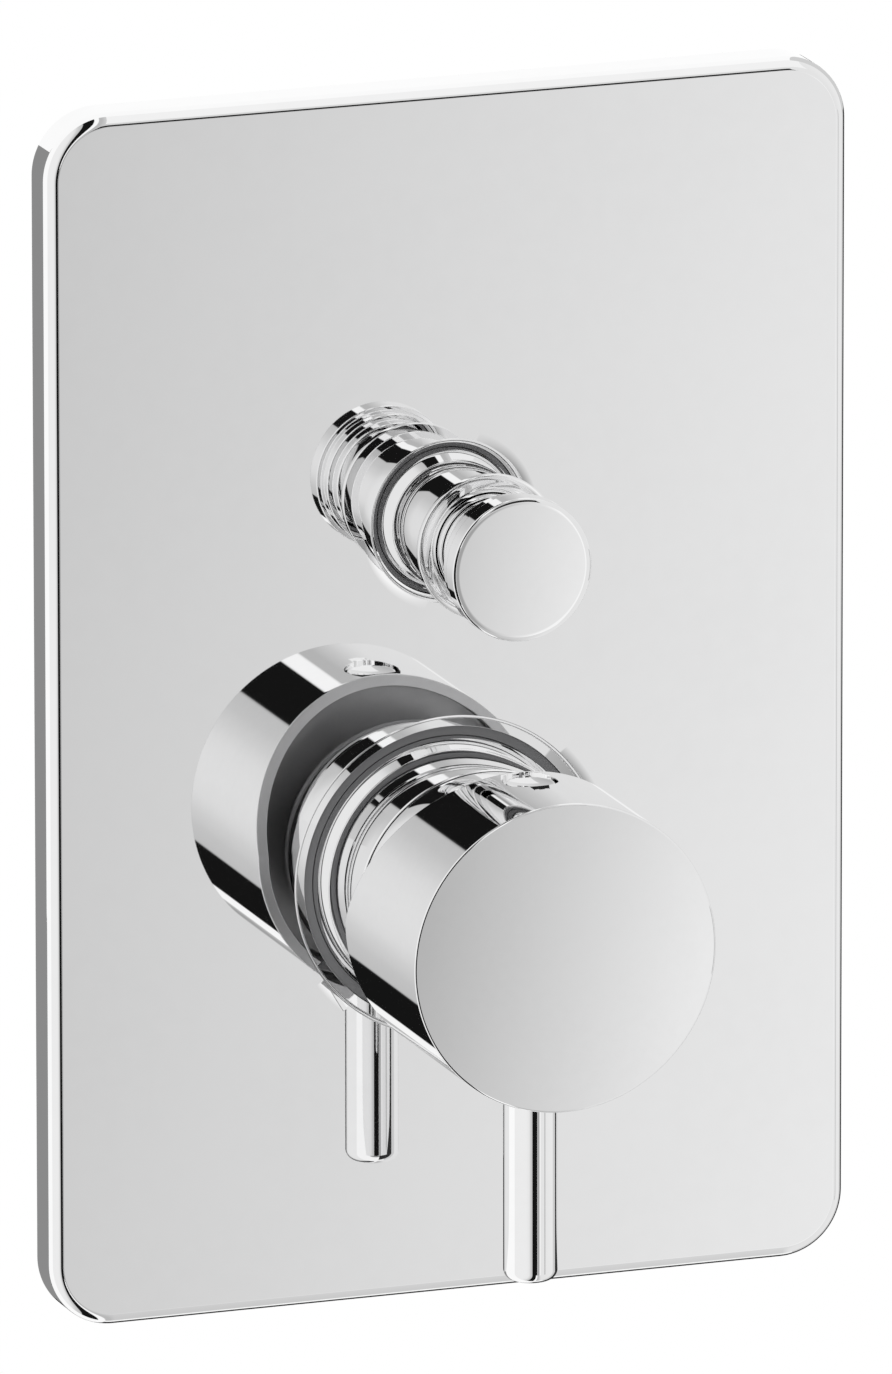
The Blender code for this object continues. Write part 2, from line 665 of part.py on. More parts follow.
def make_housing():
    profile = [
        (CARTRIDGE_RADIUS, HOUSING_BACK_Y),
        (CARTRIDGE_RADIUS, HOUSING_SHOULDER_Y),
        (HOUSING_NECK_RADIUS, HOUSING_SHOULDER_Y),
        (HOUSING_NECK_RADIUS, HOUSING_SHOULDER_Y - HOUSING_NECK_LENGTH),
        (ROTOR_BORE, HOUSING_SHOULDER_Y - HOUSING_NECK_LENGTH),
        (ROTOR_BORE, HOUSING_CEILING_Y),
        (HOUSING_BORE, HOUSING_CEILING_Y),
        (HOUSING_BORE, HOUSING_BACK_Y),
    ]
    mesh = turned_mesh("cartridge_housing", profile, MEDIUM_SIDES)
    stand("cartridge_housing", mesh, (0, 0, MIXER_Z), plastic)


def make_rotor(turn_axis):
    """The guide that turns in the housing and holds the pivot pin, slotted for the stem."""
    place = (0, 0, MIXER_Z)
    flange_radius = HOUSING_BORE - 2 * SEAT
    front = HOUSING_SHOULDER_Y - HOUSING_NECK_LENGTH
    profile = [
        (0.0, front),
        (ROTOR_RADIUS, front),
        (ROTOR_RADIUS, ROTOR_FLANGE_Y),
        (flange_radius, ROTOR_FLANGE_Y),
        (flange_radius, ROTOR_BACK_Y),
        (0.0, ROTOR_BACK_Y),
    ]
    mesh = turned_mesh("cartridge_rotor", profile, MEDIUM_SIDES)
    rotor = stand("cartridge_rotor", mesh, place, plastic, turn_axis)
    half_slot = STEM_SIDE / 2 + STEM_SLOT_PLAY
    swing = (ROTOR_BACK_Y - PIVOT_Y) * math.tan(math.radians(TILT_DEGREES))
    swing += STEM_SIDE / 2 - STEM_SLOT_TRIM
    low = (-half_slot, front - MARGIN, -swing)
    high = (half_slot, ROTOR_BACK_Y + MARGIN, swing)
    cut(rotor, "stem_slot", block_mesh("stem_slot", low, high), place)
    hole = rod_profile(PIVOT_PIN_RADIUS + PIN_PLAY, -ROTOR_RADIUS - MARGIN, ROTOR_RADIUS + MARGIN)
    pivot = (0, PIVOT_Y, MIXER_Z)
    cut(rotor, "rotor_pin_hole", turned_mesh("rotor_pin_hole", hole, SMALL_SIDES, "x"), pivot)
    half_pin = ROTOR_RADIUS - PIVOT_PIN_INSET
    pin = rod_profile(PIVOT_PIN_RADIUS, -half_pin, half_pin)
    stand("pivot_pin", turned_mesh("pivot_pin", pin, SMALL_SIDES, "x"), pivot, steel, turn_axis)


def make_stem(tilt_axis):
    """A square bar from the head's hub to the pivot, then an arm that ends in a ball."""
    half = STEM_SIDE / 2
    pivot = (0, PIVOT_Y, MIXER_Z)
    bar = block_mesh("lever_stem", (-half, -STEM_LENGTH, -half), (half, half, half))
    stem = stand("lever_stem", bar, pivot, steel, tilt_axis)
    arm_radius = BALL_RADIUS * ARM_SHARE
    arm = rod_profile(arm_radius, 0.0, ARM_LENGTH)
    add(stem, "stem_arm", turned_mesh("stem_arm", arm, SMALL_SIDES), pivot)
    ball = arc((0.0, ARM_LENGTH), BALL_RADIUS, -90, 90, 8)
    add(stem, "stem_ball", turned_mesh("stem_ball", ball, SMALL_SIDES), pivot)
    hole = rod_profile(PIVOT_PIN_RADIUS + PIN_PLAY, -half - MARGIN, half + MARGIN)
    cut(stem, "stem_pin_hole", turned_mesh("stem_pin_hole", hole, SMALL_SIDES, "x"), pivot)


def make_discs(slide_axis):
    """The carrier with its socket for the ball, and the moving ceramic disc behind it."""
    middle = (0, 0, MIXER_Z + DISC_REST)
    profile = rod_profile(CARRIER_RADIUS, CARRIER_Y, CARRIER_BACK_Y)
    mesh = turned_mesh("disc_carrier", profile, MEDIUM_SIDES)
    carrier = stand("disc_carrier", mesh, middle, plastic, slide_axis)
    socket = rod_profile(BALL_RADIUS + SEAT, CARRIER_Y - MARGIN, CARRIER_BACK_Y - CARRIER_FLOOR)
    cut(carrier, "ball_socket", turned_mesh("ball_socket", socket, SMALL_SIDES), (0, 0, MIXER_Z))
    back = MOVING_DISC_Y + MOVING_DISC_THICK
    profile = rod_profile(MOVING_DISC_RADIUS, MOVING_DISC_Y, back)
    mesh = turned_mesh("moving_disc", profile, MEDIUM_SIDES)
    disc = stand("moving_disc", mesh, middle, ceramic, slide_axis)
    pocket_radius = MOVING_DISC_RADIUS * MIXING_POCKET_SHARE
    pocket = rod_profile(pocket_radius, back - MOVING_DISC_THICK / 2, back + MARGIN)
    cut(disc, "mixing_pocket", turned_mesh("mixing_pocket", pocket, MEDIUM_SIDES), middle)


def ceramic(name):
    return material(name, CERAMIC, 0.0, 0.2)


def port_place(port, radius=PORT_CIRCLE):
    angle = math.radians(PORT_ANGLES[port])
    return (radius * math.cos(angle), 0, MIXER_Z + radius * math.sin(angle))


def make_fixed_disc():
    place = (0, 0, MIXER_Z)
    profile = rod_profile(HOUSING_BORE - 2 * SEAT, FIXED_DISC_Y, FIXED_DISC_Y + FIXED_DISC_THICK)
    disc = stand("fixed_disc", turned_mesh("fixed_disc", profile, MEDIUM_SIDES), place, ceramic)
    hole = rod_profile(PORT_RADIUS, FIXED_DISC_Y - MARGIN, FIXED_DISC_Y + FIXED_DISC_THICK + MARGIN)
    for port in PORT_ANGLES:
        name = f"disc_port_{port}"
        cut(disc, name, turned_mesh(name, hole, SMALL_SIDES), port_place(port))


def make_base():
    """The cartridge's foot, with a counterbore round each port for its seal."""
    spigot = HOUSING_BORE - 2 * SEAT
    profile = [
        (0.0, BASE_Y),
        (spigot, BASE_Y),
        (spigot, BASE_FLANGE_Y),
        (CARTRIDGE_RADIUS, BASE_FLANGE_Y),
        (CARTRIDGE_RADIUS, BASE_BACK_Y),
        (0.0, BASE_BACK_Y),
    ]
    mesh = turned_mesh("cartridge_base", profile, MEDIUM_SIDES)
    base = stand("cartridge_base", mesh, (0, 0, MIXER_Z), plastic)
    seal_front = BASE_BACK_Y + SEAT / 2 - PORT_SEAL_THICK
    port = [
        (0.0, BASE_Y - MARGIN),
        (PORT_RADIUS, BASE_Y - MARGIN),
        (PORT_RADIUS, seal_front - SEAT),
        (PORT_SEAL_RADIUS, seal_front - SEAT),
        (PORT_SEAL_RADIUS, BASE_BACK_Y + MARGIN),
        (0.0, BASE_BACK_Y + MARGIN),
    ]
    ring = ring_profile(PORT_SEAL_RADIUS - SEAL_PLAY - PORT_SEAL_THICK, PORT_SEAL_THICK, seal_front)
    for name in PORT_ANGLES:
        cut(base, f"base_port_{name}", turned_mesh(f"base_port_{name}", port, SMALL_SIDES), port_place(name))
        seal = f"port_seal_{name}"
        stand(seal, turned_mesh(seal, ring, SMALL_SIDES), port_place(name), rubber)


def make_head(tilt_axis):
    """The hollow head: a hub and an upright rib inside its front, an oblique cut behind."""
    place = (0, 0, MIXER_Z)
    bore = HEAD_RADIUS - HEAD_WALL
    profile = [
        (0.0, HEAD_BACK_Y),
        (HEAD_RADIUS, HEAD_BACK_Y),
        *arc((HEAD_RADIUS - HEAD_EDGE, HEAD_FRONT_Y + HEAD_EDGE), HEAD_EDGE, 0, -90, 2),
        (0.0, HEAD_FRONT_Y),
    ]
    head = stand("lever_head", turned_mesh("lever_head", profile, LARGE_SIDES), place, chrome, tilt_axis)
    slope = math.tan(math.radians(HEAD_CUT_DEGREES))
    far = HEAD_RADIUS + MARGIN
    behind = HEAD_BACK_Y + MARGIN
    wedge = bmesh.new()
    corners = [(0.0, HEAD_BACK_Y), (far, HEAD_BACK_Y - far * slope), (far, behind), (0.0, behind)]
    left = [wedge.verts.new((-far, y, z)) for z, y in corners]
    right = [wedge.verts.new((far, y, z)) for z, y in corners]
    bmesh.ops.bridge_loops(wedge, edges=closed_edges(wedge, left) + closed_edges(wedge, right))
    wedge.faces.new(left)
    wedge.faces.new(right)
    cut(head, "oblique_cut", finish_mesh("oblique_cut", wedge), place)
    cavity = rod_profile(bore, HEAD_FLOOR_Y, HEAD_BACK_Y + MARGIN)
    cut(head, "head_cavity", turned_mesh("head_cavity", cavity, LARGE_SIDES), place)
    pocket = rod_profile(bore - POCKET_STEP, HEAD_FRONT_Y + HEAD_FRONT_WALL, HEAD_FLOOR_Y + MARGIN)
    pockets = helper("head_pockets", turned_mesh("head_pockets", pocket, LARGE_SIDES), place)
    low = (-RIB_WIDTH / 2, HEAD_FRONT_Y, -far)
    high = (RIB_WIDTH / 2, HEAD_FLOOR_Y + 2 * MARGIN, far)
    cut(pockets, "head_rib", block_mesh("head_rib", low, high), place)
    hub = rod_profile(HUB_RADIUS, HEAD_FRONT_Y, HEAD_FLOOR_Y + 2 * MARGIN)
    cut(pockets, "head_hub", turned_mesh("head_hub", hub, MEDIUM_SIDES), place)
    combine(head, pockets, "DIFFERENCE")
    half = STEM_SIDE / 2 + SEAT
    low = (-half, PIVOT_Y - STEM_LENGTH - SEAT, -half)
    high = (half, HEAD_FLOOR_Y + MARGIN, half)
    cut(head, "stem_socket", block_mesh("stem_socket", low, high), place)
    cut_head_holes(head)


def closed_edges(shape, points):
    return [shape.edges.new(pair) for pair in zip(points, points[1:] + points[:1])]


def cut_head_holes(head):
    """Below, the stepped hole for the pin. Above, the hole for the grub screw and its plug."""
    place = (0, PIN_Y, MIXER_Z)
    seat_z = -(HEAD_RADIUS - PIN_SEAT_DEPTH)
    pin_hole = PIN_RADIUS + RUNNING
    stud_hole = PIN_STUD_RADIUS + SEAT
    below = [
        (0.0, seat_z + PIN_STUD_LENGTH + SEAT),
        (stud_hole, seat_z + PIN_STUD_LENGTH + SEAT),
        (stud_hole, seat_z),
        (pin_hole, seat_z),
        (pin_hole, -HEAD_RADIUS - MARGIN),
        (0.0, -HEAD_RADIUS - MARGIN),
    ]
    cut(head, "pin_hole", turned_mesh("pin_hole", below, PIN_SIDES, "z"), place)
    plug_floor = HEAD_RADIUS - PLUG_RECESS - PLUG_DEPTH - SEAT
    above = [
        (0.0, 0.0),
        (GRUB_RADIUS + SEAT, 0.0),
        (GRUB_RADIUS + SEAT, plug_floor),
        (pin_hole, plug_floor),
        (pin_hole, HEAD_RADIUS + MARGIN),
        (0.0, HEAD_RADIUS + MARGIN),
    ]
    cut(head, "grub_hole", turned_mesh("grub_hole", above, PIN_SIDES, "z"), place)


def make_pin(tilt_axis):
    place = (0, PIN_Y, MIXER_Z)
    seat_z = -(HEAD_RADIUS - PIN_SEAT_DEPTH) - SEAT
    bottom = PIN_BOTTOM_Z - MIXER_Z
    profile = [
        (0.0, seat_z + PIN_STUD_LENGTH),
        (PIN_STUD_RADIUS, seat_z + PIN_STUD_LENGTH),
        (PIN_STUD_RADIUS, seat_z),
        (PIN_RADIUS, seat_z),
        *arc((PIN_RADIUS - PIN_END, bottom + PIN_END), PIN_END, 0, -90, 4),
        (0.0, bottom),
    ]
    stand("lever_pin", turned_mesh("lever_pin", profile, PIN_SIDES, "z"), place, chrome, tilt_axis)


def make_head_screw(tilt_axis):
    """The grub screw that presses on the stem, and the plug that covers it."""
    place = (0, PIN_Y, MIXER_Z)
    foot = STEM_SIDE / 2 + SEAT
    top = foot + GRUB_LENGTH
    profile = [
        (0.0, foot),
        (GRUB_RADIUS * GRUB_POINT_SHARE, foot),
        (GRUB_RADIUS, foot + GRUB_RADIUS * (1 - GRUB_POINT_SHARE)),
        (GRUB_RADIUS, top),
        (GRUB_SOCKET_RADIUS, top),
        (GRUB_SOCKET_RADIUS, top - GRUB_SOCKET_DEPTH),
        (0.0, top - GRUB_SOCKET_DEPTH),
    ]
    stand("head_screw", turned_mesh("head_screw", profile, SMALL_SIDES, "z"), place, steel, tilt_axis)
    high = HEAD_RADIUS - PLUG_RECESS
    radius = PIN_RADIUS - SEAT
    edge = arc((radius - PLUG_EDGE, high - PLUG_EDGE), PLUG_EDGE, 0, 90, 2)
    plug = [(0.0, high - PLUG_DEPTH), (radius, high - PLUG_DEPTH), *edge, (0.0, high)]
    stand("head_plug", turned_mesh("head_plug", plug, PIN_SIDES, "z"), place, chrome, tilt_axis)


def make_diverter_sleeve():
    """The sleeve, its collar behind the plate and the grooved flange at its front."""
    place = (0, 0, DIVERTER_Z)
    ring_bore = DIVERTER_BORE - RING_PROUD
    groove_floor = ring_bore + DIVERTER_RING_THICK + SEAT
    step_y = FLANGE_FRONT_Y + FLANGE_STEP
    groove_y = step_y + FLANGE_GROOVE_DEPTH
    nose_bore = BUSH_NOSE_RADIUS + SEAT / 2
    profile = [
        (DIVERTER_COLLAR_RADIUS, DIVERTER_SLEEVE_BACK_Y),
        (DIVERTER_COLLAR_RADIUS, COLLAR_FRONT_Y),
        (DIVERTER_CONE_RADIUS, COLLAR_CONE_Y),
        (DIVERTER_SLEEVE_RADIUS, COLLAR_CONE_Y),
        (DIVERTER_SLEEVE_RADIUS, FLANGE_FRONT_Y + FLANGE_THICK),
        (FLANGE_RADIUS, FLANGE_FRONT_Y + FLANGE_THICK),
        (FLANGE_RADIUS, FLANGE_FRONT_Y),
        (FLANGE_STEP_RADIUS, FLANGE_FRONT_Y),
        (FLANGE_STEP_RADIUS, step_y),
        (FLANGE_GROOVE_OUTER, step_y),
        (FLANGE_GROOVE_OUTER, groove_y),
        (FLANGE_GROOVE_INNER, groove_y),
        (FLANGE_GROOVE_INNER, step_y),
        (nose_bore, step_y),
        (nose_bore, FLANGE_FRONT_Y + FLANGE_WALL),
        (DIVERTER_BORE, FLANGE_FRONT_Y + FLANGE_WALL),
        *groove_profile(DIVERTER_BORE, groove_floor, DIVERTER_RING_FRONT_Y, RING_GROOVE_WIDTH),
        (DIVERTER_BORE, DIVERTER_SLEEVE_BACK_Y),
    ]
    stand("diverter_sleeve", turned_mesh("diverter_sleeve", profile, TRIM_SIDES), place, chrome)
    front = DIVERTER_RING_FRONT_Y + (RING_GROOVE_WIDTH - DIVERTER_RING_THICK) / 2
    ring = ring_profile(ring_bore, DIVERTER_RING_THICK, front)
    stand("diverter_sleeve_ring", turned_mesh("diverter_sleeve_ring", ring, RING_SIDES), place, rubber)


def make_bush():
    outer = DIVERTER_BORE - SEAT
    bore = NECK_RADIUS + RUNNING
    shoulder = FLANGE_FRONT_Y + FLANGE_WALL + SEAT
    profile = [
        (outer, BUSH_BACK_Y),
        (outer, shoulder),
        (BUSH_NOSE_RADIUS, shoulder),
        (BUSH_NOSE_RADIUS, BUSH_NOSE_Y),
        (bore, BUSH_NOSE_Y),
        (bore, BUSH_BACK_Y),
    ]
    mesh = turned_mesh("diverter_bush", profile, TRIM_SIDES)
    stand("diverter_bush", mesh, (0, 0, DIVERTER_Z), chrome)


def make_knob(pull_axis):
    """A neck that runs in the bush, two steps and the cap, bored behind for the stem."""
    hole = VALVE_STEM_RADIUS + PIN_PLAY
    profile = [(NECK_RADIUS, NECK_BACK_Y), (NECK_RADIUS, KNOB_BACK_Y)]
    back = KNOB_BACK_Y
    for radius, length in KNOB_STEPS:
        profile += [(radius - KNOB_STEP_EDGE, back), (radius, back - KNOB_STEP_EDGE)]
        back -= length
        profile.append((radius, back))
    profile += [(KNOB_RADIUS - KNOB_STEP_EDGE, back), (KNOB_RADIUS, back - KNOB_STEP_EDGE)]
    profile += arc((KNOB_RADIUS - KNOB_EDGE, KNOB_FRONT_Y + KNOB_EDGE), KNOB_EDGE, 0, -90, 2)
    profile += [
        (0.0, KNOB_FRONT_Y),
        (0.0, KNOB_HOLE_Y),
        (hole, KNOB_HOLE_Y),
        (hole, NECK_FLOOR_Y),
        (NECK_RADIUS - NECK_WALL, NECK_FLOOR_Y),
        (NECK_RADIUS - NECK_WALL, NECK_BACK_Y),
    ]
    mesh = turned_mesh("diverter_knob", profile, TRIM_SIDES)
    stand("diverter_knob", mesh, (0, 0, DIVERTER_Z), chrome, pull_axis)


def make_valve_parts(pull_axis):
    """The diverter's stem with a shoulder on each side of the piston, and the piston with its two seals."""
    place = (0, 0, DIVERTER_Z)
    piston_front = PISTON_BACK_Y - PISTON_THICK
    end = PISTON_BACK_Y + SEAT + PISTON_SEAL_THICK + 2 * SEAT
    stem = rod_profile(VALVE_STEM_RADIUS, KNOB_HOLE_Y + SEAT, end)
    stand("diverter_stem", turned_mesh("diverter_stem", stem, SMALL_SIDES), place, steel, pull_axis)
    bore = VALVE_STEM_RADIUS + PIN_PLAY
    rings = (
        ("diverter_piston", piston_front, PISTON_THICK, brass),
        ("piston_front_seal", piston_front - SEAT - PISTON_SEAL_THICK, PISTON_SEAL_THICK, rubber),
        ("piston_rear_seal", PISTON_BACK_Y + SEAT, PISTON_SEAL_THICK, rubber),
    )
    for name, front, thick, look in rings:
        mesh = turned_mesh(name, tube_profile(PISTON_RADIUS, bore, front + thick, front), RING_SIDES)
        stand(name, mesh, place, look, pull_axis)


def make_bonnet():
    """The insert that guides the stem, carries the sleeve and ends in the front valve seat."""
    place = (0, 0, DIVERTER_Z)
    bore = VALVE_STEM_RADIUS + PIN_PLAY
    shoulder = DIVERTER_SLEEVE_BACK_Y + SEAT
    groove_back = BONNET_RING_FRONT_Y + RING_GROOVE_WIDTH
    stem_groove = (STEM_RING_FRONT_Y, STEM_RING_FRONT_Y + RING_GROOVE_WIDTH)
    profile = [
        (BONNET_NOSE_RADIUS, BONNET_FRONT_Y),
        (BONNET_NOSE_RADIUS, shoulder),
        (BONNET_RADIUS, shoulder),
        (BONNET_RADIUS, BONNET_RING_FRONT_Y),
        (BONNET_RADIUS - BONNET_GROOVE_DEPTH, BONNET_RING_FRONT_Y),
        (BONNET_RADIUS - BONNET_GROOVE_DEPTH, groove_back),
        (BONNET_RADIUS, groove_back),
        (BONNET_RADIUS, BONNET_BACK_Y),
        (VALVE_SEAT_RADIUS, BONNET_BACK_Y),
        (VALVE_SEAT_RADIUS, BONNET_BACK_Y - VALVE_SEAT_THICK),
        (BONNET_CHAMBER_RADIUS, BONNET_BACK_Y - VALVE_SEAT_THICK),
        (BONNET_CHAMBER_RADIUS, BONNET_CHAMBER_FRONT_Y),
        (bore, BONNET_CHAMBER_FRONT_Y),
        (bore, stem_groove[1]),
        (VALVE_STEM_RADIUS + STEM_GROOVE_DEPTH, stem_groove[1]),
        (VALVE_STEM_RADIUS + STEM_GROOVE_DEPTH, stem_groove[0]),
        (bore, stem_groove[0]),
        (bore, BONNET_FRONT_Y),
    ]
    bonnet = stand("diverter_bonnet", turned_mesh("diverter_bonnet", profile, MEDIUM_SIDES), place, brass)
    window = rod_profile(BONNET_WINDOW_RADIUS, -BONNET_RADIUS - MARGIN, BONNET_RADIUS + MARGIN)
    middle = (0, UPPER_OUTLET_Y, DIVERTER_Z)
    for along in ("x", "z"):
        name = f"bonnet_windows_{along}"
        cut(bonnet, name, turned_mesh(name, window, SMALL_SIDES, along), middle)
    front = BONNET_RING_FRONT_Y + (RING_GROOVE_WIDTH - BONNET_RING_THICK) / 2
    ring = ring_profile(BONNET_RADIUS - BONNET_GROOVE_DEPTH + SEAT, BONNET_RING_THICK, front)
    stand("bonnet_ring", turned_mesh("bonnet_ring", ring, RING_SIDES), place, rubber)
    front = STEM_RING_FRONT_Y + (RING_GROOVE_WIDTH - STEM_RING_THICK) / 2
    ring = ring_profile(VALVE_STEM_RADIUS + STEM_RING_PLAY, STEM_RING_THICK, front)
    stand("stem_ring", turned_mesh("stem_ring", ring, SMALL_SIDES), place, rubber)


def socket_bore(bore, reach, start):
    """A pipe's bore along its axis from a start to the mouth, where it widens into a threaded socket."""
    floor = reach - SOCKET_DEPTH
    return [
        (0.0, start),
        (bore, start),
        (bore, floor),
        (SOCKET_RADIUS, floor),
        (SOCKET_RADIUS, reach + MARGIN),
        (0.0, reach + MARGIN),
    ]


def pipe_outside(radius, reach):
    """The far end of a pipe, thicker round its socket."""
    foot = reach - SOCKET_LENGTH
    return [
        (radius, foot - (SOCKET_OUTER_RADIUS - radius)),
        (SOCKET_OUTER_RADIUS, foot),
        (SOCKET_OUTER_RADIUS, reach),
        (0.0, reach),
    ]


def turned_over(profile):
    """The same profile pointing the other way along its axis."""
    return [(radius, -place) for radius, place in reversed(profile)]


def make_body():
    """The brass casting: mixer chamber, diverter chamber, the ducts between them, inlets and outlets."""
    place = (0, 0, MIXER_Z)
    shoulder = SLEEVE_BACK_Y + SEAT
    profile = [
        (0.0, MIXER_NECK_FRONT_Y),
        (MIXER_NECK_RADIUS, MIXER_NECK_FRONT_Y),
        (MIXER_NECK_RADIUS, shoulder),
        (CHAMBER_OUTER_RADIUS, shoulder),
        (CHAMBER_OUTER_RADIUS, CHAMBER_BACK_Y),
        (0.0, CHAMBER_BACK_Y),
    ]
    body = stand("valve_body", turned_mesh("valve_body", profile, LARGE_SIDES), place, brass)
    combine_all(body, "body_outsides", "UNION", body_outsides())
    combine_all(body, "body_bores", "DIFFERENCE", body_bores())


def body_outsides():
    sides = RING_SIDES
    shapes = []
    diverter = rod_profile(DIVERTER_CHAMBER_RADIUS, DIVERTER_SLEEVE_BACK_Y + 2 * SEAT, BODY_BACK_Y)
    place = (0, 0, DIVERTER_Z)
    shapes.append(("diverter_chamber", turned_mesh("diverter_chamber", diverter, MEDIUM_SIDES), place))
    duct = rod_profile(DUCT_RADIUS, MIXER_Z - MARGIN, DIVERTER_Z + MARGIN)
    shapes.append(("duct", turned_mesh("duct", duct, sides, "z"), (0, DUCT_Y, 0)))
    half_inlet = pipe_outside(INLET_RADIUS, INLET_REACH)
    inlets = turned_over(half_inlet) + half_inlet
    shapes.append(("inlets", turned_mesh("inlets", inlets, sides, "x"), (0, INLET_Y, MIXER_Z)))
    upper = [(0.0, DIVERTER_Z - MARGIN), (OUTLET_RADIUS, DIVERTER_Z - MARGIN)]
    upper += pipe_outside(OUTLET_RADIUS, UPPER_OUTLET_Z)
    shapes.append(("upper_outlet", turned_mesh("upper_outlet", upper, sides, "z"), (0, UPPER_OUTLET_Y, 0)))
    lower = turned_over(pipe_outside(OUTLET_RADIUS, -LOWER_OUTLET_Z))
    lower += [(OUTLET_RADIUS, DIVERTER_Z + MARGIN), (0.0, DIVERTER_Z + MARGIN)]
    shapes.append(("lower_outlet", turned_mesh("lower_outlet", lower, sides, "z"), (0, LOWER_OUTLET_Y, 0)))
    low = (-SCREW_X, LUG_DEPTH / 2, SCREW_Z - WEB_HEIGHT / 2)
    high = (SCREW_X, DUCT_Y - DUCT_RADIUS / 2, SCREW_Z + WEB_HEIGHT / 2)
    shapes.append(("lug_web", block_mesh("lug_web", low, high), (0, 0, 0)))
    lug = rod_profile(LUG_RADIUS, 0.0, LUG_DEPTH)
    for side in (-1, 1):
        place = (side * SCREW_X, 0, SCREW_Z)
        shapes.append((f"lug_{side}", turned_mesh(f"lug_{side}", lug, SMALL_SIDES), place))
    return shapes


def body_bores():
    sides = RING_SIDES
    shapes = []
    chamber = [
        (0.0, MIXER_NECK_FRONT_Y - MARGIN),
        (NUT_RADIUS + SEAT, MIXER_NECK_FRONT_Y - MARGIN),
        (NUT_RADIUS + SEAT, HOUSING_SHOULDER_Y),
        (CARTRIDGE_RADIUS + SEAT, HOUSING_SHOULDER_Y),
        (CARTRIDGE_RADIUS + SEAT, CHAMBER_FLOOR_Y),
        (0.0, CHAMBER_FLOOR_Y),
    ]
    shapes.append(("mixer_bore", turned_mesh("mixer_bore", chamber, LARGE_SIDES), (0, 0, MIXER_Z)))
    for port, depth in (("hot", INLET_Y), ("cold", INLET_Y), ("mixed", DUCT_Y)):
        name = f"body_port_{port}"
        hole = rod_profile(PORT_RADIUS, CHAMBER_FLOOR_Y - MARGIN, depth + MARGIN)
        shapes.append((name, turned_mesh(name, hole, SMALL_SIDES), port_place(port)))
    inlet = socket_bore(INLET_BORE, INLET_REACH, INLET_BORE_END_X)
    place = (0, INLET_Y, MIXER_Z)
    shapes.append(("cold_bore", turned_mesh("cold_bore", inlet, sides, "x"), place))
    shapes.append(("hot_bore", turned_mesh("hot_bore", turned_over(inlet), sides, "x"), place))
    duct = rod_profile(DUCT_BORE, MIXER_Z + DUCT_START, DIVERTER_Z - BONNET_RADIUS / 2)
    shapes.append(("duct_bore", turned_mesh("duct_bore", duct, SMALL_SIDES, "z"), (0, DUCT_Y, 0)))
    valve = [
        (0.0, 0.0),
        (BONNET_RADIUS + SEAT, 0.0),
        (BONNET_RADIUS + SEAT, REAR_SEAT_Y),
        (VALVE_SEAT_RADIUS, REAR_SEAT_Y),
        (VALVE_SEAT_RADIUS, REAR_CHAMBER_Y),
        (REAR_CHAMBER_RADIUS, REAR_CHAMBER_Y),
        (REAR_CHAMBER_RADIUS, REAR_CHAMBER_Y + REAR_CHAMBER_DEPTH),
        (0.0, REAR_CHAMBER_Y + REAR_CHAMBER_DEPTH),
    ]
    shapes.append(("valve_bore", turned_mesh("valve_bore", valve, MEDIUM_SIDES), (0, 0, DIVERTER_Z)))
    upper = socket_bore(OUTLET_BORE, UPPER_OUTLET_Z, DIVERTER_Z + BONNET_RADIUS / 2)
    shapes.append(("upper_bore", turned_mesh("upper_bore", upper, sides, "z"), (0, UPPER_OUTLET_Y, 0)))
    lower = turned_over(socket_bore(OUTLET_BORE, -LOWER_OUTLET_Z, -DIVERTER_Z + REAR_CHAMBER_RADIUS / 2))
    shapes.append(("lower_bore", turned_mesh("lower_bore", lower, sides, "z"), (0, LOWER_OUTLET_Y, 0)))
    screw = rod_profile(SCREW_RADIUS + SEAT, -MARGIN, SCREW_LENGTH)
    for side in (-1, 1):
        name = f"lug_hole_{side}"
        shapes.append((name, turned_mesh(name, screw, SMALL_SIDES), (side * SCREW_X, 0, SCREW_Z)))
    return shapes


def main():
    clear_scene()
    make_plate()
    make_gasket()
    make_bracket()
    make_bracket_screw("bracket_screw_left", -SCREW_X)
    make_bracket_screw("bracket_screw_right", SCREW_X)
    make_mixer_sleeve()
    make_dome()
    make_cartridge_nut()
    make_housing()
    make_fixed_disc()
    make_base()
    turn_axis = joint_empty("mixer_turn_axis", (0, PIVOT_Y, MIXER_Z))
    make_rotor(turn_axis)
    make_discs(joint_empty("disc_slide_axis", (0, CARRIER_Y, MIXER_Z), turn_axis))
    tilt_axis = joint_empty("lever_tilt_axis", (0, PIVOT_Y, MIXER_Z), turn_axis)
    make_stem(tilt_axis)
    make_head(tilt_axis)
    make_pin(tilt_axis)
    make_head_screw(tilt_axis)
    make_body()
    make_bonnet()
    make_diverter_sleeve()
    make_bush()
    pull_axis = joint_empty("diverter_pull_axis", (0, KNOB_BACK_Y, DIVERTER_Z))
    make_knob(pull_axis)
    make_valve_parts(pull_axis)


main()
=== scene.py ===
"""Looks of the concealed shower mixer: polished trim, brass body and a small product studio.

Metres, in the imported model's frame: +Z up, the wall is the plane y = 0 and the face plate faces -Y.
Turned pieces are drawn as profiles of (radius, place along the axis, rounding of the corner).
"""

import json
import math

import bmesh
import bpy
import numpy as np
from bpy.props import FloatProperty, FloatVectorProperty, IntProperty, PointerProperty
from mathutils import Matrix, Vector

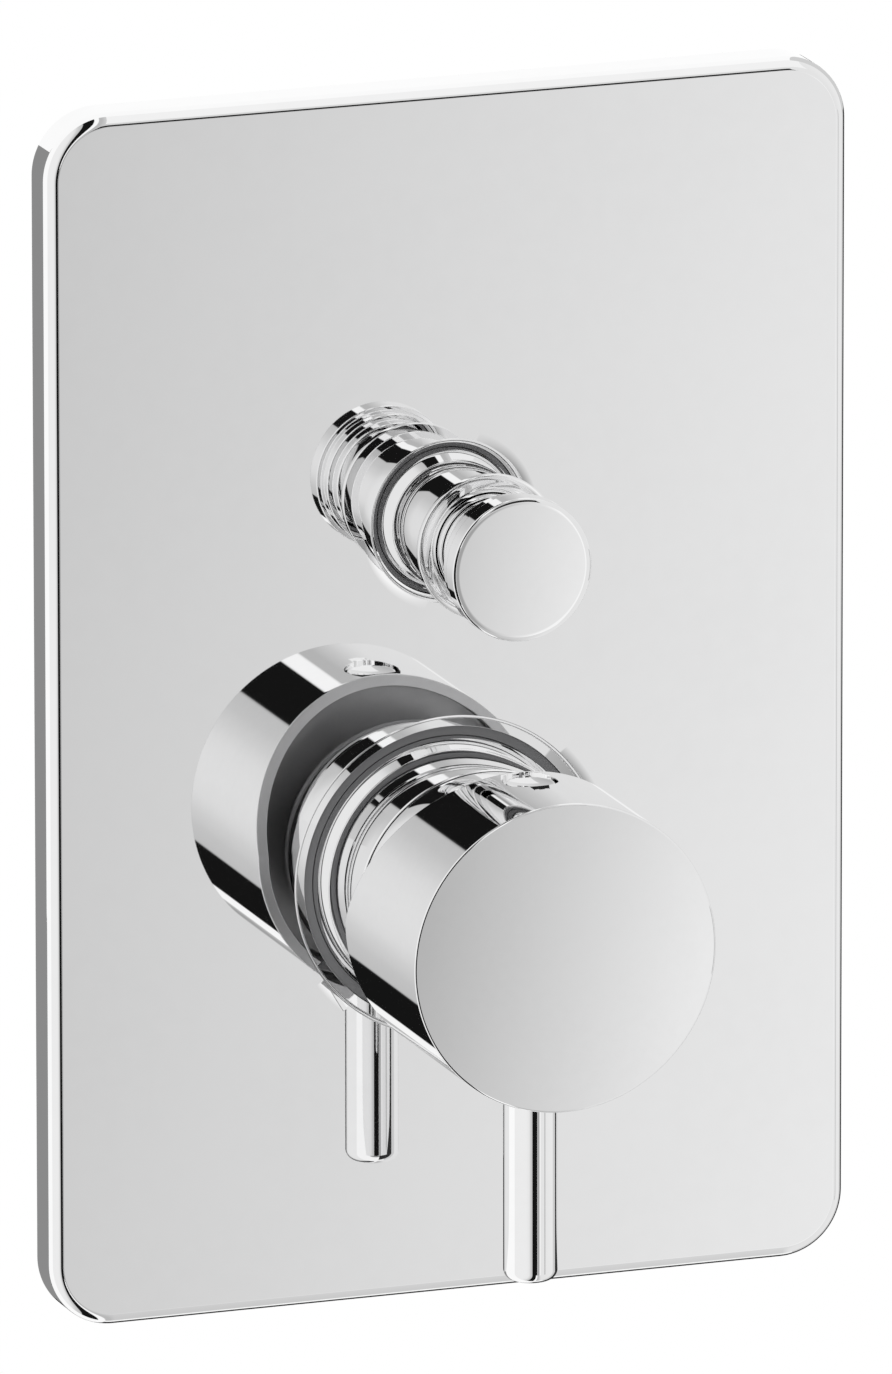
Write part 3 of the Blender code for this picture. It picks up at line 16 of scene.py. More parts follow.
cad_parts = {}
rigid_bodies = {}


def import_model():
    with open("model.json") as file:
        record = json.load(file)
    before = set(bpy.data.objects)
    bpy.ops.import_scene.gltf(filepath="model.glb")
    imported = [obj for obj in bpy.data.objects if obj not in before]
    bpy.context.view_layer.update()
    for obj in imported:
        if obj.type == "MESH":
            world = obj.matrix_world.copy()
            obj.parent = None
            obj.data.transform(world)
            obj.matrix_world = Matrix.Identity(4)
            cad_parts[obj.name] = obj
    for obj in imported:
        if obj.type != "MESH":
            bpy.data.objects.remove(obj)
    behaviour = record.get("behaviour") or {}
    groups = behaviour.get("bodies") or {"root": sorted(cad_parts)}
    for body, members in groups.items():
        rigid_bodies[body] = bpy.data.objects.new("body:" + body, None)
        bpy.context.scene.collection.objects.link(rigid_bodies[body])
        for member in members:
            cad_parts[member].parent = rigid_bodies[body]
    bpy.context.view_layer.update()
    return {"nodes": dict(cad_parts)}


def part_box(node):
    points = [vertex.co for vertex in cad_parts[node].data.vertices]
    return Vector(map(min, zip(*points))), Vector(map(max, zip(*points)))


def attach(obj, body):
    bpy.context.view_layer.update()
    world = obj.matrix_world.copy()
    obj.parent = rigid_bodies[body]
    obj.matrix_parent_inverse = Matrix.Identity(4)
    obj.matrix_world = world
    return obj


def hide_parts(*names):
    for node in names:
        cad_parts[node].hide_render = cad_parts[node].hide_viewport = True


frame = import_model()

bl_info = {
    "name": "Shower diverter mixer",
    "version": (1, 0, 0),
    "blender": (4, 5, 0),
    "location": "View3D > Sidebar > Mixer",
    "description": "Polished trim, brass body and studio of a concealed shower mixer",
    "category": "Object",
}

NODES = frame["nodes"]
PLATE_LOW, PLATE_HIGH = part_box("face_plate")
SLEEVE_LOW, SLEEVE_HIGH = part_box("mixer_sleeve")
HEAD_LOW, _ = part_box("lever_head")
KNOB_LOW, KNOB_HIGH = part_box("diverter_knob")
MIXER_Z = (SLEEVE_LOW.z + SLEEVE_HIGH.z) / 2
DIVERTER_Z = (KNOB_LOW.z + KNOB_HIGH.z) / 2

# Gaps: between pieces that meet, and of a round piece in its bore
SEAT = 0.0003
RUNNING = 0.00012
# Roundings of corners, from the sharpest
SHARP, KEEN, CRISP, SOFT, PLAIN = 0.00008, 0.0001, 0.00012, 0.0002, 0.0003
# Collars behind the plate: front edge, end of the cone, step at its end, radii and rear ends
COLLAR_FRONT, COLLAR_CONE, CONE_STEP = -0.0077, -0.0098, 0.0001
MIXER_COLLAR, DIVERTER_COLLAR = 0.0224, 0.0115
SLEEVE_BACK, DIVERTER_BACK = 0.0040, 0.0010
# Faces whose areas differ by less than this count alike in the shading, in square metres
SAME_AREA = 4e-8


def length(name, description, default):
    return FloatProperty(name=name, description=description, default=default, unit="LENGTH", precision=5)


def number(name, description, default):
    return FloatProperty(name=name, description=description, default=default)


def colour(name, description, default):
    return FloatVectorProperty(
        name=name, description=description, default=default, subtype="COLOR", size=3, min=0.0, max=1.0
    )


class PlateSizes(bpy.types.PropertyGroup):
    """Sizes of the face plate."""

    width: length("Width", "Width of the face plate", PLATE_HIGH.x - PLATE_LOW.x)
    height: length("Height", "Height of the face plate", PLATE_HIGH.z - PLATE_LOW.z)
    front: length("Front", "Place of the face in front of the wall", -0.0075)
    wall: length("Wall", "Thickness of the sheet", 0.0016)
    corner: length("Corner", "Radius of the corners", 0.0105)
    edge: length("Edge", "Rounding between face and side", 0.0020)
    hole_edge: length("Hole edge", "Rounding where the face turns in to a hole", 0.0010)
    hole_step: length("Hole step", "Depth of the flat lip round a hole", 0.0012)
    mixer_hole: length("Mixer hole", "Radius of the lower hole", 0.0241)
    mixer_lip: length("Mixer lip", "Width of the flat lip round the lower hole", 0.0015)
    diverter_hole: length("Diverter hole", "Radius of the upper hole", 0.0124)
    diverter_lip: length("Diverter lip", "Width of the flat lip round the upper hole", 0.0004)
    pin_x: length("Pin place X", "Distance of the press pins from the middle", 0.04595)
    pin_z: length("Pin place Z", "Height of the press pins from the middle", 0.0760)
    pin: length("Pin", "Radius of the press pins", 0.0020)
    split: length("Split", "Height between the two holes", -0.0005)


class MixerSizes(bpy.types.PropertyGroup):
    """Sizes of the mixer's sleeve, dome and lever."""

    sleeve: length("Sleeve", "Radius of the sleeve", 0.0212)
    sleeve_front: length("Sleeve front", "Front end of the sleeve", -0.0235)
    head: length("Head", "Radius of the lever's head", 0.0250)
    head_front: length("Head front", "Face of the head", HEAD_LOW.y)
    head_back: length("Head back", "Rear edge of the head's lower half", -0.0280)
    head_wall: length("Head wall", "Thickness of the head's wall", 0.0018)
    head_edge: length("Head edge", "Rounding between the head's face and wall", 0.0002)
    head_floor: length("Head floor", "Place of the head's inner floor", -0.0398)
    tilt: number("Tilt", "Slope of the cut behind the head, in degrees", 25.0)
    pivot: length("Pivot", "Place of the lever's pivot", -0.0195)
    pin: length("Pin", "Radius of the handle pin", 0.0043)
    pin_y: length("Pin place", "Distance of the pin from the wall", -0.0446)
    pin_bottom: length("Pin end", "Lower end of the pin", -0.0862)


class DiverterSizes(bpy.types.PropertyGroup):
    """Sizes of the diverter's sleeve and knob."""

    sleeve: length("Sleeve", "Radius of the sleeve", 0.0104)
    flange: length("Flange", "Radius of the flange at the sleeve's front", 0.01176)
    flange_front: length("Flange front", "Face of the flange", -0.0258)
    neck: length("Neck", "Radius of the knob's neck", 0.0083)
    knob: length("Knob", "Radius of the knob's cap", 0.01157)
    knob_front: length("Knob front", "Face of the knob", KNOB_LOW.y)


class Finishes(bpy.types.PropertyGroup):
    """Colours of the materials."""

    chrome: colour("Chrome", "Polished plated surfaces", (0.93, 0.93, 0.932))
    # The inside is dull plating, and its darker grey is painted shade of the head's hollow
    inside: colour("Inside", "Unpolished plated surfaces inside the head", (0.45, 0.45, 0.455))
    rim: colour("Rim", "Satin rear edge of the head", (0.62, 0.62, 0.625))
    seal: colour("Gap seal", "Grey rings in the gaps round the sleeves", (0.20, 0.20, 0.205))
    brass: colour("Brass", "Cast and machined brass", (0.78, 0.60, 0.33))
    steel: colour("Steel", "Plain steel", (0.62, 0.62, 0.63))
    plastic: colour("Plastic", "Moulded cartridge parts", (0.70, 0.71, 0.68))
    ceramic: colour("Ceramic", "Lapped discs", (0.88, 0.88, 0.85))
    rubber: colour("Rubber", "Seals and rings", (0.03, 0.03, 0.03))
    foam: colour("Foam", "Seal behind the plate", (0.10, 0.10, 0.10))


class Studio(bpy.types.PropertyGroup):
    """The camera, the light tent, the lamp and the floor."""

    camera: FloatVectorProperty(
        name="Camera", description="Place of the camera", default=(-1.28391, -3.57443, 0.98971),
        unit="LENGTH",
    )
    azimuth: number("Azimuth", "Turn of the view, in degrees", 19.78648)
    elevation: number("Elevation", "Rise of the view, in degrees", -14.61698)
    roll: number("Roll", "Roll of the view, in degrees", -0.05901)
    lens: number("Lens", "Focal length in mm", 1000.0)
    sensor: number("Sensor", "Sensor width in mm", 36.0)
    tent_radius: length("Tent radius", "Radius of the light tent", 30.0)
    floor_z: length("Floor", "Height of the floor", -0.30)
    floor_radius: length("Floor radius", "Radius of the floor", 1.4)
    soft: number("Soft light", "Strength of the light from all round", 0.75)
    lamp_power: number("Lamp", "Power of the lamp in W", 9.0)
    lamp_size: length("Lamp size", "Diameter of the lamp", 0.9)
    lamp_place: FloatVectorProperty(
        name="Lamp place", description="Place of the lamp", default=(-0.7, -0.9, 1.3), unit="LENGTH"
    )
    sides: IntProperty(
        name="Sides", description="Facets round a large turned piece", default=192, min=24, max=512
    )


# Surfaces


def eased(profile, steps=6, closed=False):
    """A profile of (radius, place, rounding) corners as a fine line of (radius, place) points.

    A corner with a rounding becomes an arc that touches both of its sides: its centre lies on the corner's
    bisector, at the rounding over the sine of half the angle. It takes up to 0.49 of the shorter side."""
    corners = np.array([p[:2] for p in profile], float)
    count = len(corners)
    line = []
    for i, corner in enumerate(corners):
        rounding = profile[i][2] if len(profile[i]) > 2 else 0.0
        if not rounding or not (closed or 0 < i < count - 1):
            line.append(corner)
            continue
        before, after = corners[i - 1] - corner, corners[(i + 1) % count] - corner
        sides = np.linalg.norm(before), np.linalg.norm(after)
        before, after = before / sides[0], after / sides[1]
        half = math.acos(np.clip(before @ after, -1, 1)) / 2
        reach = min(rounding / math.tan(half), 0.49 * min(sides))
        radius = reach * math.tan(half)
        centre = corner + (before + after) / np.linalg.norm(before + after) * radius / math.sin(half)
        start, end = corner + before * reach - centre, corner + after * reach - centre
        first = math.atan2(start[1], start[0])
        sweep = (math.atan2(end[1], end[0]) - first + math.pi) % math.tau - math.pi
        angles = first + sweep * np.linspace(0, 1, steps + 1)
        line.extend(centre + radius * np.stack([np.cos(angles), np.sin(angles)], 1))
    return np.array(line)


def arc(radius, centre, first, last, steps):
    """Points (radius, place) of a circle about a centre on the axis, from one angle to another in degrees."""
    angles = np.radians(np.linspace(first, last, steps + 1))
    return [(radius * math.cos(a), centre + radius * math.sin(a), 0.0) for a in angles]


def quads_between(table):
    """The quads between the rows of a table of vertex numbers whose columns close on themselves."""
    following = np.roll(table, -1, axis=1)
    return np.stack([table[:-1], following[:-1], following[1:], table[1:]], -1).reshape(-1, 4)


def turned(profile, sides, closed=False):
    """Vertices and faces of a profile spun round its axis.

    A point at radius r and place p goes to (r cos t, p, r sin t) for each angle t. An end on the axis
    shrinks to one point when the mesh is made. A closed profile joins its last row to its first."""
    radius, place = np.asarray(profile, float).T[:2, :, None]
    t = np.linspace(0, math.tau, sides, endpoint=False)
    verts = np.stack([radius * np.cos(t), place + 0 * t, radius * np.sin(t)], -1).reshape(-1, 3)
    table = np.arange(len(verts)).reshape(-1, sides)
    if closed:
        table = np.vstack([table, table[:1]])
    return verts, quads_between(table).tolist()


def upright(verts):
    """A shape turned about Y, stood up so that its axis is Z."""
    x, y, z = verts.T
    return np.stack([x, -z, y], 1)


def laid(flat, y, z=0.0):
    """Points (x, z) of a plane figure, set at a place y and raised by z."""
    return np.stack([flat[:, 0], np.full(len(flat), y), z + flat[:, 1]], 1)


def at_height(verts, z):
    return verts + np.array([0.0, 0.0, z])


def joined(shapes):
    """Several closed shapes, each (vertices, faces), as one list of vertices and one of faces."""
    verts, faces, made = [], [], 0
    for points, polygons in shapes:
        verts.append(points)
        faces += [[v + made for v in polygon] for polygon in polygons]
        made += len(points)
    return np.vstack(verts), faces


def new_mesh(name, verts, faces):
    """A smooth mesh from arrays, with its faces pointing out."""
    mesh = bpy.data.meshes.new(name)
    mesh.from_pydata(verts.tolist(), [], faces)
    shape = bmesh.new()
    shape.from_mesh(mesh)
    bmesh.ops.remove_doubles(shape, verts=shape.verts, dist=1e-7)
    bmesh.ops.recalc_face_normals(shape, faces=shape.faces)
    shape.to_mesh(mesh)
    shape.free()
    mesh.shade_smooth()
    return mesh


def piece(name, verts, faces, body, nodes, material):
    """A finished piece that rides on a body, stands for CAD nodes and has its material."""
    obj = bpy.data.objects.new(name, new_mesh(name, verts, faces))
    bpy.context.scene.collection.objects.link(obj)
    obj.data.materials.append(material)
    keep_faces_flat(obj)
    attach(obj, body)
    if nodes:
        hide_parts(*nodes)
    return obj


def turned_trim(name, profile, z, body, node, closed=True):
    """A turned piece of polished trim on the axis at a height, in place of its CAD node."""
    verts, faces = turned(profile, bpy.context.scene.mixer_studio.sides, closed)
    return piece(name, at_height(verts, z), faces, body, [node], look("polished_trim"))


def keep_faces_flat(obj, same_area=SAME_AREA):
    """Large faces decide the shading, so that a flat or straight wall mirrors without a bend at its edge.

    Faces whose areas differ by less than the given area count alike."""
    modifier = obj.modifiers.new("face_weight", "WEIGHTED_NORMAL")
    modifier.mode = "FACE_AREA"
    modifier.weight = 100
    modifier.thresh = same_area
    modifier.keep_sharp = True


def cut_out(obj, tools):
    """Takes tools, given as (vertices, faces), from a piece by an exact Boolean and bakes the result."""
    group = bpy.data.collections.new(obj.name + "_tools")
    bpy.context.scene.collection.children.link(group)
    for index, (verts, faces) in enumerate(tools):
        group.objects.link(bpy.data.objects.new(f"{obj.name}_tool_{index}", new_mesh("tool", verts, faces)))
    modifier = obj.modifiers.new("holes", "BOOLEAN")
    modifier.operation, modifier.solver = "DIFFERENCE", "EXACT"
    modifier.operand_type, modifier.collection = "COLLECTION", group
    depsgraph = bpy.context.evaluated_depsgraph_get()
    depsgraph.update()
    mesh = bpy.data.meshes.new_from_object(obj.evaluated_get(depsgraph))
    obj.modifiers.clear()
    obj.data = mesh
    mesh.shade_smooth()
    for tool in list(group.objects):
        bpy.data.objects.remove(tool, do_unlink=True)
    bpy.data.collections.remove(group)


# Shared effects


def node_group(name, inputs, outputs):
    """An empty shader group: its inputs are numbers with defaults, and its outputs have kinds."""
    group = bpy.data.node_groups.new(name, "ShaderNodeTree")
    for label, default in inputs.items():
        group.interface.new_socket(label, in_out="INPUT", socket_type="NodeSocketFloat").default_value = default
    for label, kind in outputs.items():
        group.interface.new_socket(label, in_out="OUTPUT", socket_type=kind)
    return group, group.nodes.new("NodeGroupInput").outputs, group.nodes.new("NodeGroupOutput").inputs


def add_node(tree, kind, links=None, **values):
    """A node with its settings, and its inputs either linked from sockets or set to values."""
    node = tree.nodes.new(kind)
    for key, value in values.items():
        setattr(node, key, value)
    for key, source in (links or {}).items():
        socket = node.inputs[key]
        if isinstance(source, bpy.types.NodeSocket):
            tree.links.new(source, socket)
        else:
            socket.default_value = source
    return node


def math_node(tree, operation, first, second):
    """The result of a Math node on two sockets or values."""
    return add_node(tree, "ShaderNodeMath", {0: first, 1: second}, operation=operation).outputs[0]


def noise(tree, place, scale, detail):
    inputs = {"Vector": place, "Scale": scale, "Detail": detail}
    return add_node(tree, "ShaderNodeTexNoise", inputs).outputs["Fac"]


def mapped(tree, value, source, target=(0.0, 1.0)):
    """A value carried linearly from one range to another, and kept within it."""
    inputs = {
        "Value": value, "From Min": source[0], "From Max": source[1], "To Min": target[0], "To Max": target[1]
    }
    return add_node(tree, "ShaderNodeMapRange", inputs, clamp=True).outputs["Result"]


def haze_group():
    """Faint handling haze: two scales of noise give a mask, and the mask a roughness."""
    group, inside, outside = node_group(
        "handling_haze",
        {"Scale": 60.0, "Roughness": 0.02, "Haze": 0.02},
        {"Mask": "NodeSocketFloat", "Roughness": "NodeSocketFloat"},
    )
    place = add_node(group, "ShaderNodeTexCoord").outputs["Object"]
    wide = noise(group, place, inside["Scale"], 3.0)
    fine = noise(group, place, math_node(group, "MULTIPLY", inside["Scale"], 9.0), 2.0)
    mask = mapped(group, math_node(group, "MULTIPLY", wide, fine), (0.16, 0.42))
    added = math_node(group, "MULTIPLY", mask, inside["Haze"])
    group.links.new(mask, outside["Mask"])
    group.links.new(math_node(group, "ADD", added, inside["Roughness"]), outside["Roughness"])


def grain_group():
    """Cast or moulded grain: noise at two scales gives a height, a normal from it and a colour mask."""
    group, inside, outside = node_group(
        "cast_grain",
        {"Scale": 900.0, "Depth": 0.0002, "Strength": 0.4},
        {"Mask": "NodeSocketFloat", "Normal": "NodeSocketVector"},
    )
    place = add_node(group, "ShaderNodeTexCoord").outputs["Object"]
    coarse = noise(group, place, math_node(group, "MULTIPLY", inside["Scale"], 0.12), 3.0)
    fine = noise(group, place, inside["Scale"], 4.0)
    height = math_node(group, "ADD", math_node(group, "MULTIPLY", coarse, 0.5), fine)
    inputs = {"Height": height, "Distance": inside["Depth"], "Strength": inside["Strength"]}
    group.links.new(coarse, outside["Mask"])
    group.links.new(add_node(group, "ShaderNodeBump", inputs).outputs["Normal"], outside["Normal"])


def shader_of(name):
    """The tree of a new material, and the inputs of its Principled shader."""
    made = bpy.data.materials.new(name)
    made.use_nodes = True
    return made.node_tree, made.node_tree.nodes["Principled BSDF"].inputs


def mixed_colour(tree, mask, low, high):
    """The colour between two at a mask, each a socket, three numbers, or one number for a grey."""
    ends = []
    for end in (low, high):
        if not isinstance(end, bpy.types.NodeSocket):
            end = (end, end, end, 1.0) if isinstance(end, float) else (*end, 1.0)
        ends.append(end)
    return add_node(tree, "ShaderNodeMix", {0: mask, 6: ends[0], 7: ends[1]}, data_type="RGBA").outputs[2]


def scaled(rgb, share):
    return tuple(min(1.0, c * share) for c in rgb)


def effect_node(tree, group, **values):
    """A shared effect placed in a material with its own values."""
    effect = add_node(tree, "ShaderNodeGroup", node_tree=bpy.data.node_groups[group])
    for key, value in values.items():
        effect.inputs[key].default_value = value
    return effect.outputs


def polished(name, rgb, roughness, haze, scale):
    """Plated and polished metal: a clean mirror with faint haze in its roughness and colour."""
    tree, shader = shader_of(name)
    effect = effect_node(tree, "handling_haze", Scale=scale, Roughness=roughness, Haze=haze)
    tree.links.new(mixed_colour(tree, effect["Mask"], rgb, scaled(rgb, 0.985)), shader["Base Color"])
    tree.links.new(effect["Roughness"], shader["Roughness"])
    shader["Metallic"].default_value = 1.0


def grained(name, rgb, metallic, roughness, scale, depth, contrast):
    """Cast, moulded or foamed material: grain in its normal and a slow change of its colour."""
    tree, shader = shader_of(name)
    effect = effect_node(tree, "cast_grain", Scale=scale, Depth=depth)
    tree.links.new(mixed_colour(tree, effect["Mask"], scaled(rgb, contrast), rgb), shader["Base Color"])
    tree.links.new(effect["Normal"], shader["Normal"])
    tree.links.new(mapped(tree, effect["Mask"], (0.3, 0.7), roughness), shader["Roughness"])
    shader["Metallic"].default_value = metallic


def look(name):
    return bpy.data.materials[name]


def dress(node, material):
    """Gives a CAD node its material and shades its facets smoothly."""
    obj = NODES[node]
    obj.data.materials.clear()
    obj.data.materials.append(material)
    smooth = obj.modifiers.new("smooth", "NODES")
    smooth.node_group = smoothing_group()
    weight = obj.modifiers.new("face_weight", "WEIGHTED_NORMAL")
    weight.keep_sharp = True


SMOOTH_ANGLE, MERGE_DISTANCE = 40, 1e-6


def smoothing_group():
    """Geometry nodes that join the loose triangles and smooth all edges flatter than SMOOTH_ANGLE."""
    if "smooth_facets" in bpy.data.node_groups:
        return bpy.data.node_groups["smooth_facets"]
    group = bpy.data.node_groups.new("smooth_facets", "GeometryNodeTree")
    for side in ("INPUT", "OUTPUT"):
        group.interface.new_socket("Geometry", in_out=side, socket_type="NodeSocketGeometry")
    angle = add_node(group, "GeometryNodeInputMeshEdgeAngle").outputs["Unsigned Angle"]
    limits = {"A": angle, "B": math.radians(SMOOTH_ANGLE)}
    steep = add_node(group, "FunctionNodeCompare", limits, operation="GREATER_THAN").outputs["Result"]
    shape = group.nodes.new("NodeGroupInput").outputs[0]
    smooth = "GeometryNodeSetShadeSmooth"
    shape = add_node(group, "GeometryNodeMergeByDistance", {0: shape, "Distance": MERGE_DISTANCE}).outputs[0]
    shape = add_node(group, smooth, {0: shape}, domain="FACE").outputs[0]
    inputs = {0: shape, "Selection": steep, "Shade Smooth": False}
    shape = add_node(group, smooth, inputs, domain="EDGE").outputs[0]
    group.links.new(shape, group.nodes.new("NodeGroupOutput").inputs[0])
    return group


# Face plate


# Points along the outline: half a side, a corner, and the top or bottom
SIDE_STEPS, CORNER_STEPS, TOP_STEPS = 70, 24, 60


def outline_path(width, height, corner, split):
    """The line of a rounded rectangle: its points on the corner-centre rectangle, and its outward normals.

    It runs from the right side at the split height over the top to the left side, and back below. A
    point of the outline at an inset d is the rectangle point plus the normal times (corner - d)."""
    w, h = width / 2 - corner, height / 2 - corner
    points, normals = [], []

    def straight_run(start, end, normal, steps):
        share = np.linspace(0, 1, steps, endpoint=False)[:, None]
        points.append(np.array(start) * (1 - share) + np.array(end) * share)
        normals.append(np.tile(normal, (steps, 1)))

    def round_run(centre, first):
        angles = np.radians(first + np.linspace(0, 90, CORNER_STEPS, endpoint=False))
        points.append(np.tile(centre, (CORNER_STEPS, 1)))
        normals.append(np.stack([np.cos(angles), np.sin(angles)], 1))

    for sign, first in ((1, 0), (-1, 180)):
        x, z = sign * w, sign * h
        straight_run((x, split), (x, z), (sign, 0), SIDE_STEPS)
        round_run((x, z), first)
        straight_run((x, z), (-x, z), (0, sign), TOP_STEPS)
        round_run((-x, z), first + 90)
        straight_run((-x, z), (-x, split), (-sign, 0), SIDE_STEPS)
    return np.vstack(points), np.vstack(normals)


# Roundings of the shell: its inner corner, the foot of a hole's wall, and the lip's nearly sharp corners
INNER_ROUND, FOOT_ROUND, LIP_ROUND = 0.0006, 0.0003, 0.00006
# The outline's rows end this many edge roundings in from the side, and inside this far past the corner
FACE_ROWS, INNER_ROWS = 2.1, 0.0005
# Width of the flat ring round a hole's edge
HOLE_FLAT = 0.0010
# Points on the line that divides the face, and the rings' shares of the way from border to hole
SPLIT_POINTS = 159
RING_SHARES = (0.4, 0.8)


def hole_edge(sizes, radius, lip):
    """Section of a hole's turned-in edge: round the shoulder, along the lip, and out to the inner face."""
    inner_y = sizes.front + sizes.wall
    lip_y = sizes.front + sizes.hole_step
    lip_back = lip_y + sizes.wall
    shoulder = radius + lip
    outside = shoulder + sizes.wall
    profile = [
        (shoulder + sizes.hole_edge + HOLE_FLAT, sizes.front), (shoulder, sizes.front, sizes.hole_edge),
        (shoulder, lip_y, LIP_ROUND), (radius, lip_y, LIP_ROUND),
        (radius, lip_back, SOFT), (outside, lip_back, INNER_ROUND),
        (outside, inner_y, FOOT_ROUND), (outside + HOLE_FLAT, inner_y),
    ]
    return eased(profile, steps=8)


def plate_surface(sizes):
    """The pressed shell with its two holes.

    The outline rows run from the face's border round the edge to the rim and back inside. The face is
    divided at the split height into two parts, and each part is a set of rings that go from its border
    straight towards its hole's circle, round the turned-in edge and out again over the inner face."""
    path, normals = outline_path(sizes.width, sizes.height, sizes.corner, sizes.split)
    count = len(path)
    half = count // 2
    inner_y = sizes.front + sizes.wall
    section = [
        (sizes.edge * FACE_ROWS, sizes.front), (0.0, sizes.front, sizes.edge),
        (0.0, 0.0, SOFT), (sizes.wall, 0.0, SOFT),
        (sizes.wall, inner_y, INNER_ROUND), (sizes.wall + INNER_ROUND + INNER_ROWS, inner_y),
    ]
    section = eased(section, steps=10)
    outline = np.vstack([laid(path + normals * (sizes.corner - inset), y) for inset, y in section])
    verts, faces = [outline], [quads_between(np.arange(len(outline)).reshape(-1, count))]
    made = len(outline)
    starts = (0, made - count)
    share = np.linspace(0, 1, SPLIT_POINTS + 2)[1:-1, None]
    splits = []
    for row in starts:
        left, right = outline[row + half], outline[row]
        verts.append(left + (right - left) * share)
        splits.append(made + np.arange(SPLIT_POINTS))
        made += SPLIT_POINTS
    fixed = np.vstack(verts)
    holes = (
        (DIVERTER_Z, sizes.diverter_hole, sizes.diverter_lip, False),
        (MIXER_Z, sizes.mixer_hole, sizes.mixer_lip, True),
    )
    for hole_z, radius, lip, lower in holes:
        if lower:
            walls = [np.r_[row + np.arange(half, count), row, line[::-1]] for row, line in zip(starts, splits)]
        else:
            walls = [np.r_[row + np.arange(half + 1), line] for row, line in zip(starts, splits)]
        away, back_away = (fixed[wall][:, [0, 2]] - np.array([0.0, hole_z]) for wall in walls)
        direction = away / np.linalg.norm(away, axis=1)[:, None]
        edge = hole_edge(sizes, radius, lip)
        first, last = direction * edge[0, 0], direction * edge[-1, 0]
        rings = [laid(away + (first - away) * part, sizes.front, hole_z) for part in RING_SHARES]
        rings += [laid(direction * reach, y, hole_z) for reach, y in edge]
        rings.append(laid(last + (back_away - last) / 2, inner_y, hole_z))
        columns = len(away)
        tube = made + np.arange(len(rings) * columns).reshape(len(rings), columns)
        faces.append(quads_between(np.vstack([walls[0], tube, walls[1]])))
        verts += rings
        made += tube.size
    return np.vstack(verts), np.vstack(faces).tolist()


# Press pins: rounding of their ends, depth by which they root in the sheet, and facets
PRESS_PIN_END, PRESS_PIN_ROOT, PRESS_PIN_SIDES = 0.0005, 0.0002, 40
# Rings in the gaps of the holes: place behind the lip's face, depth, slope of the front, play and facets
SEAL_PLACE, SEAL_DEPTH, SEAL_SLOPE, SEAL_PLAY, SEAL_SIDES = 0.0006, 0.0016, 0.0002, 0.00005, 160


def seal_ring(collar_radius, hole, lip_y, z):
    """A flat ring between a collar and its hole, a little behind the lip's face."""
    inner, outer = collar_radius + SEAL_PLAY, hole - SEAL_PLAY
    front = lip_y + SEAL_PLACE
    back = front + SEAL_DEPTH
    profile = [(inner, front + SEAL_SLOPE, KEEN), (outer, front, KEEN), (outer, back, KEEN), (inner, back, KEEN)]
    verts, faces = turned(eased(profile, closed=True), SEAL_SIDES, closed=True)
    return at_height(verts, z), faces


class MIXER_OT_plate(bpy.types.Operator):
    """Make the polished face plate, and the rings in the gaps between its holes and the sleeves"""

    bl_idname = "mixer.plate"
    bl_label = "Face plate"

    def execute(self, context):
        sizes = context.scene.mixer_plate
        shapes = [plate_surface(sizes)]
        inner_y = sizes.front + sizes.wall
        profile = [(0.0, inner_y), (sizes.pin, inner_y), (sizes.pin, -SEAT, PRESS_PIN_END), (0.0, -SEAT)]
        for x in (-sizes.pin_x, sizes.pin_x):
            for z in (-sizes.pin_z, sizes.pin_z):
                verts, faces = turned(eased(profile), PRESS_PIN_SIDES)
                shapes.append((verts + np.array([x, -PRESS_PIN_ROOT, z]), faces))
        verts, faces = joined(shapes)
        piece("plate_shell", verts, faces, "fixed", ["face_plate"], look("polished_plate"))
        lip_y = sizes.front + sizes.hole_step
        verts, faces = joined([
            seal_ring(MIXER_COLLAR, sizes.mixer_hole, lip_y, MIXER_Z),
            seal_ring(DIVERTER_COLLAR, sizes.diverter_hole, lip_y, DIVERTER_Z),
        ])
        piece("hole_seals", verts, faces, "fixed", [], look("gap_seal"))
        return {"FINISHED"}


# Mixer sleeve and dome

SLEEVE_WALL = 0.0014
# Groove for the rubber ring in the sleeve's bore: front end, rear end and depth
GROOVE_FRONT, GROOVE_BACK, GROOVE_DEPTH = -0.0005, 0.0017, 0.00175
# The dome: wall, radius of its opening, radius inside its skirt, and the skirt's length
DOME_WALL, DOME_OPENING, SKIRT_BORE, SKIRT_LENGTH = 0.0013, 0.0137, 0.0180, 0.0063
# Its inner side ends this far in front of the sleeve, and its flank starts at this angle, in degrees
SKIRT_ROOT, FLANK_START = 0.0006, -1.0


def collar(radius, sleeve, back, rounding):
    """Corners of a sleeve's rear end: the collar's back and front edge, and the cone down to the sleeve."""
    return [
        (radius, back, rounding),
        (radius, COLLAR_FRONT, rounding),
        (sleeve + CONE_STEP, COLLAR_CONE, SHARP),
        (sleeve, COLLAR_CONE, CONE_STEP / 2),
    ]


class MIXER_OT_sleeve(bpy.types.Operator):
    """Make the mixer's sleeve and the domed cap in its front"""

    bl_idname = "mixer.sleeve"
    bl_label = "Mixer sleeve and dome"

    def execute(self, context):
        mixer = context.scene.mixer_sizes
        front, bore = mixer.sleeve_front, mixer.sleeve - SLEEVE_WALL
        groove = bore + GROOVE_DEPTH
        sleeve = [
            *collar(MIXER_COLLAR, mixer.sleeve, SLEEVE_BACK, CRISP),
            (mixer.sleeve, front, PLAIN), (bore, front, KEEN),
            (bore, GROOVE_FRONT, CRISP), (groove, GROOVE_FRONT, CRISP),
            (groove, GROOVE_BACK, CRISP), (bore, GROOVE_BACK, CRISP),
            (bore, SLEEVE_BACK, CRISP),
        ]
        turned_trim("sleeve", eased(sleeve, closed=True), MIXER_Z, "fixed", "mixer_sleeve")
        turned_trim("dome", dome_profile(mixer), MIXER_Z, "fixed", "dome_cap")
        return {"FINISHED"}


